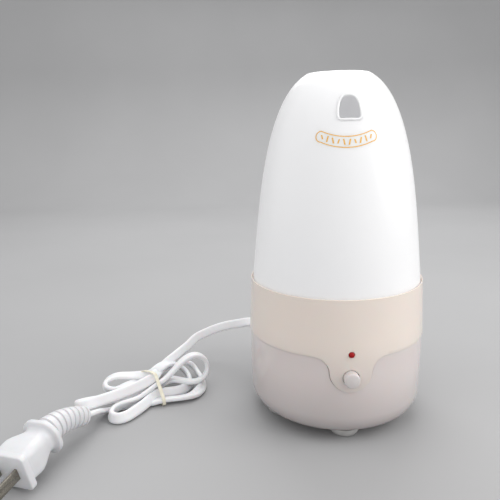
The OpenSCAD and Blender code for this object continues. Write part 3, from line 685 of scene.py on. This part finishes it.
frosted_dome = frosted("frosted_dome")
dome = grown("dome_shell", DOME, DOME_KEYS, {
    "Foot radius": FOOT_R * MM, "Taper": TAPER * MM, "Base height": BASE_Z * MM, "Span": SPAN * MM,
    "Power": POWER,
    "Foot height": 0.08555, "Top height": 0.2108, "Crown": 0.0005, "Rows": 110, "Sides": 181,
    "Material": frosted_dome})
outward(dome, 1e-6)
up_face = max(dome.data.polygons, key=lambda f: f.center.z)
if up_face.normal.z < 0:
    dome.data.flip_normals()
wall = dome.modifiers.new("wall", "SOLIDIFY")
wall.thickness, wall.offset, wall.use_even_offset = 0.0018, -1.0, True
baked(dome)
print("dome skin:", len(dome.data.polygons), "faces, top", round(max(v.co.z for v in dome.data.vertices), 4))

# %% [markdown]
# ## The vent
# Steam leaves through an arched opening near the top, with a slightly raised lip. The opening is cut by
# a prism pushed through the front wall, and the lip is a bead laid along the same outline. Each bead
# point is dropped on the dome by the dome's own rule, so that the bead sits on the curve everywhere.

# %% Cut the vent and lay its lip
def dome_radius(z):
    share = (z - BASE_Z) / SPAN
    return (FOOT_R - TAPER * share) * (1 - share ** POWER) ** (1 / 3)


def on_dome(x, z, proud=0.0):
    r = dome_radius(z) + proud
    return Vector((x, -math.sqrt(max(r * r - x * x, 0)), z))


def vent_outline(grow=0.0):
    a, low, c = 6.2 + grow, 184.4 - grow, 1.6 + grow
    right = arc(a - c - 0.1, low + c, c, c, -90, -10, 6)
    over = [(a * math.copysign(abs(math.cos(t)) ** 0.74, math.cos(t)), 184.4 - grow
             + (12.4 + 2 * grow) * math.sin(t) ** 0.82)
            for t in [math.radians(16 + 148 * k / 28) for k in range(29)]]
    left = arc(-a + c + 0.1, low + c, c, c, -170, -90, 6)
    return right + over + left


def bead(name, outline, proud, thick, deep, sides=10):
    """A round bead along a closed outline on the dome's front."""
    loop = [on_dome(x, z, proud) for x, z in outline]
    points, faces, n = [], [], len(loop)
    for i, p in enumerate(loop):
        d = (loop[(i + 1) % n] - loop[i - 1]).normalized()
        out = Vector((p.x, p.y, 12)).normalized()
        wide = d.cross(out).normalized()
        for k in range(sides):
            a = 2 * math.pi * k / sides
            points.append((p + wide * (thick * math.cos(a)) + out * (deep * math.sin(a))) * MM)
    for i in range(n):
        j = (i + 1) % n
        faces += [(i * sides + k, i * sides + (k + 1) % sides, j * sides + (k + 1) % sides, j * sides + k)
                  for k in range(sides)]
    return soft_edges(outward(piece(name, points, faces)), 60)


def evenly(outline, spacing):
    pts = [Vector((x, 0, z)) for x, z in outline] + [Vector((outline[0][0], 0, outline[0][1]))]
    out = []
    for a, b in zip(pts, pts[1:]):
        n = max(1, round((b - a).length / spacing))
        out += [a.lerp(b, k / n) for k in range(n)]
    return [(p.x, p.z) for p in out]


carve(dome, [front_prism("vent_cutter", vent_outline(), -60, 0)])
soft_edges(outward(dome, 2e-6), 38)
vent_lip = wear(bead("vent_lip", evenly(vent_outline(0.35), 0.6), 0.0, 0.75, 0.7), frosted_dome)
print("vent cut; lip", len(vent_lip.data.polygons), "faces")

# %% [markdown]
# ## The printed mark
# A thin gold outline is printed on the dome's front, shaped like a smiling band, with marks inside.
# Printing has no thickness to speak of, but a mesh needs some, so the print is a strip 0.07 mm thick
# on the surface. The words of such a mark are left out: a plain row of short strokes stands for them.

# %% Print the mark
gold_ink = finish("gold_ink", (0.80, 0.44, 0.06), (0.88, 0.52, 0.10), (0.35, 0.5), 500, 0.05, 0.00005)


def printed(name, flat_points, flat_faces):
    """Flat points are (degrees round the front, height); each becomes a thin closed patch on the dome."""
    points, faces, n = [], [], len(flat_points)
    for proud in (0.02, 0.09):
        for degrees, z in flat_points:
            r, a = dome_radius(z) + proud, math.radians(degrees)
            points.append(Vector((r * math.sin(a), -r * math.cos(a), z)) * MM)
    edges = {}
    for f in flat_faces:
        faces += [tuple(f), tuple(i + n for i in reversed(f))]
        for a, b in zip(f, f[1:] + f[:1]):
            key = (min(a, b), max(a, b))
            edges[key] = None if key in edges else (a, b)
    faces += [(b, a, a + n, b + n) for pair in edges.values() if pair for a, b in [pair]]
    return outward(piece(name, points, faces))


MARK_MID, MARK_LEFT, MARK_RIGHT, MARK_Z, MARK_TALL = -3.0, -27.0, 21.0, 172.4, 6.2


def smile(degrees):
    return MARK_Z + 4.3 * ((degrees - MARK_MID) / 24) ** 2


def mark_outline(shrink):
    tall = MARK_TALL / 2 - shrink
    per_mm = 1 / (math.radians(1) * dome_radius(MARK_Z))
    ends, full = tall * per_mm, MARK_TALL / 2 * per_mm
    top, bottom = [], []
    for i in range(41):
        d = MARK_LEFT + full + (MARK_RIGHT - MARK_LEFT - 2 * full) * i / 40
        top.append((d, smile(d) + tall))
        bottom.append((d, smile(d) - tall))
    right = [(top[-1][0] + ends * math.sin(a), smile(top[-1][0]) + tall * math.cos(a)) for a in
             [math.pi * k / 12 for k in range(1, 12)]]
    left = [(top[0][0] - ends * math.sin(a), smile(top[0][0]) - tall * math.cos(a)) for a in
            [math.pi * k / 12 for k in range(1, 12)]]
    return top + right + bottom[::-1] + left


outer, inner = mark_outline(0.0), mark_outline(0.5)
n = len(outer)
flat_points = outer + inner
flat_faces = [(i, (i + 1) % n, (i + 1) % n + n, i + n) for i in range(n)]
wide = 0.40 / (math.radians(1) * dome_radius(MARK_Z))
for i in range(10):
    d = MARK_LEFT + 5.2 + (MARK_RIGHT - MARK_LEFT - 10.4) * i / 9
    z, tilt, tall = smile(d), (0.5 if i % 2 else -0.5), (1.55 if i % 3 else 1.1)
    start = len(flat_points)
    flat_points += [(d - wide - tilt, z - tall), (d + wide - tilt, z - tall), (d + wide + tilt, z + tall),
                    (d - wide + tilt, z + tall)]
    flat_faces.append((start, start + 1, start + 2, start + 3))
mark = wear(printed("printed_mark", flat_points, flat_faces), gold_ink)
print("mark:", len(mark.data.polygons), "faces")

# %% [markdown]
# ## The casing
# The base is moulded in two halves. The upper housing carries a shield-shaped bib that drops over the
# lower shell at the front, for the lamp and the button. A lathe makes both halves as closed walls with
# their corners eased, and prisms cut the bib out of one and leave it on the other, so that the joint
# between them is a real, fine gap.

# %% The bib's outline
def bib_outline(grow=0.0, top=60.0):
    r, f = 12.0 + grow, 9.5 - grow
    side_r = [(21.5, top)] + arc(21.5, 45.5, f, f, 90, 180, 14)
    under = arc(0, 46.4, r, r, 0, -180, 36)
    side_l = arc(-21.5, 45.5, f, f, 0, 90, 14) + [(-21.5, top)]
    return side_r + under + side_l


def below_the_bib(name, y0, y1, floor=28.0, split=55.0, grow=0.0):
    """All that lies under the split line and outside the bib, as a prism."""
    edge = [(x, z) for x, z in bib_outline(grow, 60) if z < split + 0.01]
    edge = [(21.5 + 0.01, split)] + edge + [(-21.5 - 0.01, split)]
    return front_prism(name, [(-70, split), (-70, floor), (70, floor), (70, split)] + edge, y0, y1)


# %% Turn and cut the upper housing
outside = [(55.1, 31 + 2 * k, 0) for k in range(12)]
outside += [(55.1 - 1.4 * k / 17, 55 + 32.8 * k / 17, 0) for k in range(18)]
upper_section = rounded(outside + [
    (53.7, 88.5, 1), (52.9, 88.5, 1), (52.9, 85.5, 0),
    (43.5, 85.5, 1), (43.5, 83.5, 1), (51.1, 83.5, 0), (51.2, 82.5, 0), (52.9, 55.0, 0), (52.9, 31, 0)], 0.5,
    5)
print("upper section:", len(upper_section), "points")
upper = turned("upper_casing", upper_section, 192)
back_cut = box_tool("back_cut", (-70, -20, 28), (70, 70, 55))
front_cut = below_the_bib("front_cut", -70, -20)
lamp_hole = front_prism("lamp_hole", arc(0, 57.1, 1.85, 1.85, 0, 360, 32)[:-1], -70, -45)
button_hole = front_prism("button_hole", arc(0, 43.2, 4.8, 4.8, 0, 360, 48)[:-1], -70, -45)
carve(upper, [back_cut, front_cut, lamp_hole, button_hole])
outward(upper, 2e-5)
eased(upper, 0.32, 2, 42)
soft_edges(wear(upper, white_casing), 30)
print("upper casing:", len(upper.data.polygons), "faces")

# %% Turn and cut the lower shell
corner = arc(43.4, 18, 10.9, 12.5, -90, 0, 22)
inside = arc(42.0, 18, 10.1, 10.3, 0, -90, 16)
side_wall = [(54.3 + 0.3 * k / 15, 18 + 36.7 * k / 15) for k in range(1, 15)]
rim = [(54.6, 54.7), (54.35, 54.95), (52.5, 54.95), (52.4, 54.9)]
lower_section = [(0, 5.5)] + corner + side_wall + rim + inside + [(0, 7.7)]
lower = turned("lower_casing", lower_section, 192)
bib_cut = front_prism("bib_cut", bib_outline(0.25, 62), -70, -43)
carve(lower, [bib_cut])
cable_hole = turned("cable_hole", [(0, 46), (4.9, 46), (4.9, 60), (0, 60)], 48,
                    Matrix.Rotation(EXIT_TURN, 4, "Z") @ Matrix.Translation((0, 0, EXIT[2] * MM))
                    @ Matrix.Rotation(math.radians(90), 4, "Y"))
wells = []
for k, a in enumerate((90, 210, 330)):
    a = math.radians(a)
    wells.append(turned(f"screw_well_{k}", [(0, 3), (2.9, 3), (2.9, 12), (0, 12)], 32,
                        Matrix.Translation((48.8 * MM * math.cos(a), 48.8 * MM * math.sin(a), 0))))
carve(lower, [cable_hole] + wells)
outward(lower, 2e-5)
eased(lower, 0.3, 2, 42)
soft_edges(wear(lower, shell_casing), 30)
print("lower casing:", len(lower.data.polygons), "faces")

# %% [markdown]
# ## Button, lamp and feet
# The button is a small moulded cap with a soft crown and an eased rim. The lamp is a clear red lens
# with a round nose, and it glows very slightly from inside. The five rubber feet are one shape repeated
# on a circle, so nodes place them: a circle's points carry instances of a foot turned on the lathe.

# %% Button and lamp
def forward(z):
    """Turns an upright lathe part to face the front, on the axis at this height."""
    return Matrix.Translation((0, 0, z * MM)) @ Matrix.Rotation(math.radians(90), 4, "X")


crown = [(0, 59.8)] + [(3.7 * k / 8, 59.8 - 0.42 * (k / 8) ** 2) for k in range(1, 9)]
cap_section = crown + [(4.1, 59.15), (4.38, 58.75), (4.5, 58.2), (4.5, 52.2), (5.7, 52.2), (5.7, 51.0),
                       (0, 51.0)]
# The button's white is darker than the casing's: painted shade for the shaded face of the cap.
button_white = finish("button_white", (0.60, 0.56, 0.55), (0.66, 0.62, 0.61), (0.18, 0.28), 80, 0.05, 0.0001,
                      fine=500, Coat_Weight=0.2, Coat_Roughness=0.1, Subsurface_Weight=0.1,
                      Subsurface_Scale=0.002)
button = wear(turned("button_cap", cap_section, 72, forward(43.2)), button_white)
soft_edges(button, 40)
lens_red = finish("lens_red", (0.26, 0.006, 0.008), (0.36, 0.012, 0.014), (0.10, 0.18), 200, 0.03, 0.00005,
                  IOR=1.25, Transmission_Weight=0.1, Emission_Color=(1.0, 0.02, 0.03, 1),
                  Emission_Strength=0.05)
nose = [(1.6 * math.sin(math.radians(a)), 54.95 + 1.6 * math.cos(math.radians(a))) for a in range(0, 91, 9)]
lens_section = nose + [(1.6, 52.0), (1.95, 52.0), (1.95, 51.0), (0, 51.0)]
lens = soft_edges(wear(turned("lamp_lens", lens_section, 48, forward(57.1)), lens_red), 40)
pins = box_tool("pin_a", (-1.52, -51.2, 56.85), (-1.02, -48.5, 57.35))
leads = [box_tool("pin_b", (1.02, -51.2, 56.85), (1.52, -48.5, 57.35)),
         box_tool("pin_c", (-1.52, -49.0, 49.0), (-1.02, -48.5, 57.3)),
         box_tool("pin_d", (1.02, -49.0, 49.0), (1.52, -48.5, 57.3)),
         box_tool("pin_e", (-1.52, -49.0, 49.0), (-1.02, -41.1, 49.5)),
         box_tool("pin_f", (1.02, -49.0, 49.0), (1.52, -41.1, 49.5))]
carve(pins, leads, "UNION")
pins.name = "lamp_pins"
wear(eased(pins, 0.08, 1), nickel)
print("button", len(button.data.polygons), "lens", len(lens.data.polygons), "faces")

# %% Five feet on a circle
FEET, f_in, f_out, FEET_KEYS = new_tree(
    "feet_on_a_circle", Object=["Foot"], Int=["Count"], Float=["Ring radius", "First angle"],
    Material=["Material"])
g = {o.name: o for o in f_in.outputs}
node = makers(FEET)[0]
circle = node("GeometryNodeMeshCircle", {"Vertices": g["Count"], "Radius": g["Ring radius"]})
spun = node("GeometryNodeTransform", {"Geometry": circle.outputs[0],
        "Rotation": node("ShaderNodeCombineXYZ", {"Z": g["First angle"]}).outputs[0]})
one = node("GeometryNodeObjectInfo", {"Object": g["Foot"], "As Instance": True})
placed = node("GeometryNodeInstanceOnPoints", {"Points": spun.outputs[0],
        "Instance": one.outputs["Geometry"]})
finished(FEET, placed.outputs[0], f_out, g["Material"])
foot_section = [(0, 0.02)] + [(5.6 + 3.9 * math.sin(math.radians(a)), 5.45 - 5.43 * math.cos(math.radians(a)))
                              for a in range(0, 91, 6)]
foot_section += [(9.4, 5.5), (2.5, 5.5), (2.5, 7.8), (3.2, 7.8), (2.4, 8.9), (0, 8.9)]
foot = soft_edges(turned("one_foot", foot_section, 56), 50)
feet = grown("rubber_feet", FEET, FEET_KEYS, {"Foot": foot, "Count": 5, "Ring radius": 0.0377,
                                              "First angle": -math.pi / 2, "Material": grey_rubber})
bpy.data.objects.remove(foot)
print("feet:", len(feet.data.polygons), "faces")

# %% [markdown]
# ## The plug
# A moulded two-blade plug: a face plate with rounded corners, a waist to grip, and an oval flange where
# the sleeve begins. It is lofted as one skin. Each station along its length is a rounded rectangle, so
# a short table of stations gives the whole shape.

# %% The plug's body and blades
def rounded_rectangle(w, h, r, steps=6):
    r = min(r, w / 2 - 0.01, h / 2 - 0.01)
    out = []
    for cx, cy, a in ((w / 2 - r, h / 2 - r, 0), (-w / 2 + r, h / 2 - r, 90), (-w / 2 + r, -h / 2 + r, 180),
                      (w / 2 - r, -h / 2 + r, 270)):
        out += [(cx + r * math.cos(math.radians(a + 90 * k / steps)), cy
                 + r * math.sin(math.radians(a + 90 * k / steps))) for k in range(steps + 1)]
    return out


def lofted(name, stations, turn, place):
    """Stations are (distance along X, width, height, corner radius)."""
    points, faces = [], []
    for x, w, h, r in stations:
        points += [(place + turn @ Vector((x, y, z))) * MM for y, z in rounded_rectangle(w, h, r)]
    n = len(points) // len(stations)
    for i in range(len(stations) - 1):
        faces += [(i * n + k, i * n + (k + 1) % n, (i + 1) * n + (k + 1) % n, (i + 1) * n + k)
                  for k in range(n)]
    faces += [tuple(range(n)), tuple(range(len(points) - n, len(points)))]
    return outward(piece(name, points, faces))


PLUG = [(0, 24.8, 19.8, 2.2), (-0.25, 25.6, 20.6, 2.6), (-0.7, 26, 21, 2.8), (-3.0, 26, 21, 2.8),
        (-3.5, 25.5, 20.5, 2.8),
        (-3.7, 23.4, 18.4, 3.0), (-4.1, 22.2, 17.6, 3.2), (-5.2, 21.8, 17.4, 3.6), (-7, 22.4, 18, 4.2),
        (-9.5, 23.2, 18.8, 4.8),
        (-12, 23.2, 18.8, 5), (-15, 21.8, 17.6, 5.2), (-18, 19.6, 15.8, 5.4), (-20.5, 18.2, 14.6, 5.8),
        (-22.6, 17.8, 14.2, 6.2), (-23.8, 18.4, 14.8, 6.4), (-24.5, 20.2, 16.6, 7),
        (-24.8, 23.4, 19.6, 8.4), (-25.1, 24.2, 20.4, 8.8), (-25.5, 24.6, 20.8, 9), (-26.9, 24.6, 20.8, 9),
        (-27.4, 24.2, 20.4, 8.8), (-27.7, 23.2, 19.4, 8.4), (-28.4, 19, 16, 7.4)]
BLADE_SIDE, HOLE_SIDES = 6.35, 24


def on_plug(x, y, z):
    return (PLUG_FACE + PLUG_TURN @ Vector((x, y, z))) * MM


plug = lofted("plug_shell", PLUG, PLUG_TURN, PLUG_FACE)
slots = []
for s in (-1, 1):
    points = [on_plug(x, s * BLADE_SIDE + y, z) for x in (-9, 3) for y in (-0.76, 0.76)
              for z in (-3.19, 3.19)]
    slots.append(outward(piece("slot", points, BOX_FACES)))
carve(plug, slots)
soft_edges(wear(outward(plug), white_plug), 48)
blades = None
for s in (-1, 1):
    outline = [(-9, -3.17), (15.6, -3.17), (17.2, -2.2), (17.5, -1.4), (17.5, 1.4), (17.2, 2.2), (15.6, 3.17),
               (-9, 3.17)]
    points = [on_plug(x, s * BLADE_SIDE + y, z) for y in (-0.75, 0.75) for x, z in outline]
    blade = outward(piece("plug_blade", points, prism_faces(len(outline))))
    hole = [on_plug(13 + 1.3 * math.cos(a), s * BLADE_SIDE + y, 1.3 * math.sin(a))
            for y in (-3, 3) for a in [math.pi * k / 12 for k in range(HOLE_SIDES)]]
    cutter = outward(piece("hole", hole, prism_faces(HOLE_SIDES)))
    carve(blade, [cutter])
    eased(outward(blade, 5e-6), 0.15, 2)
    blades = blade if blades is None else carve(blades, [blade], "UNION")
blades.name = "plug_pins"
soft_edges(wear(blades, nickel), 35)
print("plug:", len(plug.data.polygons), "faces; blades:", len(blades.data.polygons), "faces")

# %% [markdown]
# ## The parts inside
# The heating parts are never redrawn. The mechanical model's own meshes stay where they are, and each
# gets a finish for what it is: spun aluminium for the pot, darker cast metal for the well, silicone,
# zinc plate, brown phenolic, sleeved wire and board green.

# %% Finishes for the parts inside
inside_finishes = {
    "pot_aluminium": finish("spun_aluminium", (0.70, 0.70, 0.71), (0.80, 0.80, 0.81), (0.22, 0.36), 40, 0.25,
                            0.0001, stretch=(1, 1, 14), Metallic=1.0),
    "well_aluminium": finish("cast_aluminium", (0.42, 0.43, 0.44), (0.55, 0.56, 0.57), (0.38, 0.55), 160, 0.4,
                             0.0003, Metallic=1.0),
    "gasket_silicone": finish("red_silicone", (0.42, 0.10, 0.06), (0.52, 0.14, 0.08), (0.5, 0.65), 150, 0.2,
                              0.0002),
    "zinc_steel": finish("zinc_plate", (0.58, 0.58, 0.56), (0.74, 0.73, 0.69), (0.25, 0.42), 220, 0.2, 0.0001,
                         Metallic=1.0),
    "heater_ceramic": finish("heater_ceramic", (0.72, 0.69, 0.62), (0.84, 0.81, 0.74), (0.6, 0.8), 260, 0.4,
                             0.0003),
    "thermostat_phenolic": finish("brown_phenolic", (0.13, 0.06, 0.03), (0.22, 0.11, 0.06), (0.35, 0.5), 300,
            0.2, 0.0002),
    "fuse_gold": finish("fuse_lacquer", (0.60, 0.45, 0.16), (0.74, 0.58, 0.24), (0.22, 0.36), 240, 0.1,
                        0.0001, Metallic=0.6),
    "board_green": finish("board_lacquer", (0.02, 0.14, 0.06), (0.04, 0.22, 0.09), (0.22, 0.38), 500, 0.15,
                          0.0001, stretch=(4, 1, 1)),
    "resistor_tan": finish("resistor_tan", (0.52, 0.40, 0.24), (0.66, 0.53, 0.34), (0.35, 0.5), 600, 0.1,
                           0.0001),
    "switch_black": finish("switch_black", (0.02, 0.02, 0.022), (0.05, 0.05, 0.055), (0.38, 0.52), 400, 0.2,
                           0.0001),
    "plunger_white": finish("plunger_nylon", (0.74, 0.73, 0.70), (0.82, 0.81, 0.78), (0.35, 0.5), 400, 0.1,
                            0.0001),
    "block_nylon": finish("block_nylon", (0.76, 0.74, 0.68), (0.86, 0.84, 0.78), (0.4, 0.55), 220, 0.2,
                          0.0002, Subsurface_Weight=0.1, Subsurface_Scale=0.002),
    "screw_brass": finish("screw_brass", (0.60, 0.44, 0.18), (0.74, 0.57, 0.26), (0.22, 0.38), 300, 0.15,
                          0.0001, Metallic=1.0),
    "clamp_nylon": finish("clamp_nylon", (0.66, 0.63, 0.54), (0.78, 0.75, 0.66), (0.42, 0.58), 240, 0.2,
                          0.0002),
    "wire_sleeve": finish("wire_sleeve", (0.62, 0.16, 0.12), (0.74, 0.24, 0.18), (0.4, 0.6), 700, 0.3,
                          0.0002),
    "foot_rubber": grey_rubber, "lead_white": white_lead, "plug_white": white_plug, "blade_nickel": nickel,
    "casing_white": white_casing, "button_white": button_white, "lamp_red": lens_red,
    "gland_white": white_lead,
    "tie_cream": cream_tie, "dome_frosted": frosted_dome,
}
slot_of = {row["node"]: row["material_slot"] for row in frame["record"]["subparts"]}
for node_name, obj in frame["nodes"].items():
    wear(obj, inside_finishes[slot_of[node_name]])
print("finished", len(frame["nodes"]), "mechanical nodes")

# %% [markdown]
# ## Housing screws
# Three pan-head screws come up through the lower shell. They are alike, so one is drawn inside a node
# tree, a head and a shank with a cross recess cut from it, and set on a circle of three points.

# %% Screws on a circle
SCREWS, c_in, c_out, SCREW_KEYS = new_tree(
    "screws_on_a_circle", Int=["Count"], Material=["Material"],
    Float=["Ring radius", "Seat height", "First angle", "Head radius", "Head height", "Shank radius",
           "Shank length"])
g = {o.name: o for o in c_in.outputs}
node, _, minus, times = makers(SCREWS)[:4]


def up_by(value):
    return node("ShaderNodeCombineXYZ", {"Z": value}).outputs[0]


head = node("GeometryNodeMeshCone", {"Vertices": 32, "Radius Top": times(g["Head radius"], 0.98),
                                             "Radius Bottom": times(g["Head radius"], 0.84),
                                             "Depth": g["Head height"]})
head_at = node("GeometryNodeTransform", {"Geometry": head.outputs[0],
        "Translation": up_by(times(g["Head height"], -1.0))})
shank = node("GeometryNodeMeshCylinder", {"Vertices": 24, "Radius": g["Shank radius"],
        "Depth": g["Shank length"]})
shank_at = node("GeometryNodeTransform", {"Geometry": shank.outputs[0],
        "Translation": up_by(minus(times(g["Shank length"], 0.5), 0.0002))})
recess = node("GeometryNodeJoinGeometry")
for size in ((0.0034, 0.0007, 0.0022), (0.0007, 0.0034, 0.0022)):
    bar = node("GeometryNodeMeshCube", {"Size": size})
    low = node("GeometryNodeTransform", {"Geometry": bar.outputs[0],
            "Translation": up_by(times(g["Head height"], -1.0))})
    SCREWS.links.new(low.outputs[0], recess.inputs[0])
body = node("GeometryNodeMeshBoolean", operation="UNION")
SCREWS.links.new(head_at.outputs[0], body.inputs["Mesh 2"])
SCREWS.links.new(shank_at.outputs[0], body.inputs["Mesh 2"])
cut = node("GeometryNodeMeshBoolean", {"Mesh 1": body.outputs[0]}, operation="DIFFERENCE")
SCREWS.links.new(recess.outputs[0], cut.inputs["Mesh 2"])
ringed = node("GeometryNodeMeshCircle", {"Vertices": g["Count"], "Radius": g["Ring radius"]})
turned_ring = node("GeometryNodeTransform", {"Geometry": ringed.outputs[0],
        "Translation": up_by(g["Seat height"]),
                                                     "Rotation": up_by(g["First angle"])})
set_on = node("GeometryNodeInstanceOnPoints", {"Points": turned_ring.outputs[0], "Instance": cut.outputs[0]})
finished(SCREWS, set_on.outputs[0], c_out, g["Material"])
screws = grown("casing_screws", SCREWS, SCREW_KEYS, {
    "Count": 3, "Ring radius": 0.0488, "Seat height": 0.05, "First angle": math.pi / 2, "Head radius": 0.0028,
    "Head height": 0.0023, "Shank radius": 0.0015, "Shank length": 0.018,
    "Material": inside_finishes["zinc_steel"]})
soft_edges(outward(screws, 2e-6), 35)
print("screws:", len(screws.data.polygons), "faces")

# %% [markdown]
# ## Put every piece on its body
# Each row names a new piece, the body that carries it in the mechanical model, the mechanical nodes it stands
# for and a material slot from the record. The piece rides on that body and those nodes are hidden; the slot is
# not used.

# %% Ride and replace
for obj, body_name, nodes, slot_name in (
        (dome, "dome", ["dome_cover"], "dome_frosted"), (vent_lip, "dome", [], "dome_frosted"),
        (mark, "dome", [], "fuse_gold"), (upper, "base", ["upper_housing"], "casing_white"),
        (lower, "base", ["lower_shell"], "casing_white"), (button, "button", ["push_button"], "button_white"),
        (lens, "base", ["indicator_lamp"], "lamp_red"), (pins, "base", [], "blade_nickel"),
        (feet, "base", [n for n in frame["nodes"] if n.startswith("foot_")], "foot_rubber"),
        (screws, "base", ["housing_screws"], "zinc_steel"), (gland_sleeve, "base", [], "gland_white"),
        (lead, "base", ["cord_lead", "cord_hank", "cord_tail"], "lead_white"),
        (tie, "base", ["cord_tie"], "tie_cream"),
        (plug_sleeve, "base", ["plug_relief"], "plug_white"), (plug, "base", ["plug_body"], "plug_white"),
        (blades, "base", ["plug_blades"], "blade_nickel")):
    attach(obj, body_name)
    if nodes:
        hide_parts(*nodes)

# %% [markdown]
# ## The studio
# A pale sweep of paper and soft light. The key is a wide panel on the right. A weak panel overhead, a
# little to the left, keeps the shaded side open. A wide panel high behind lights the dome's top and its
# edges, and from that height it does not leave a bright band on the floor.

# %% Floor and lights
scene = bpy.context.scene
scene.view_settings.view_transform = "Standard"
sweep = [(-1.6, 0)] + [(0.9 + 0.35 * math.sin(math.radians(a)), 0.35 - 0.35 * math.cos(math.radians(a)))
                       for a in range(0, 91, 6)] + [(1.25, 1.6)]
floor_points = [(x, y, z) for x in (-2.5, 2.5) for y, z in sweep]
n = len(sweep)
floor = piece("paper_sweep", floor_points, [(i, i + 1, i + 1 + n, i + n) for i in range(n - 1)])
floor.data.shade_smooth()
floor.data.flip_normals()
wear(floor, finish("sweep_paper", (0.36, 0.36, 0.365), (0.38, 0.38, 0.385), (0.7, 0.8), 4, 0.05, 0.0005))


def panel(name, place, aim, size, watts, colour):
    light = bpy.data.lights.new(name, "AREA")
    light.shape, light.size, light.size_y = "RECTANGLE", *size
    light.energy, light.color = watts, colour
    obj = bpy.data.objects.new(name, light)
    obj.location = place
    obj.rotation_euler = (Vector(aim) - Vector(place)).to_track_quat("-Z", "Y").to_euler()
    bpy.context.scene.collection.objects.link(obj)
    return obj


panel("key_panel", (0.62, -0.22, 0.50), (0, 0, 0.10), (0.45, 0.60), 2.8, (1.0, 0.99, 0.975))
panel("top_panel", (-0.25, -0.15, 0.85), (-0.05, 0, 0.12), (0.7, 0.7), 0.9, (1.0, 1.0, 1.0))
panel("back_panel", (0.05, 0.85, 0.95), (0, 0, 0.14), (1.0, 0.7), 7.0, (1.0, 1.0, 1.0))
world = bpy.data.worlds.new("studio")
scene.world = world
world.use_nodes = True
world.node_tree.nodes["Background"].inputs["Color"].default_value = (1.0, 1.0, 1.0, 1)
world.node_tree.nodes["Background"].inputs["Strength"].default_value = 0.96
print("lights:", len(bpy.data.lights))

# %% [markdown]
# ## Finish
# The last cell only imports json.

# %% Finish
import json
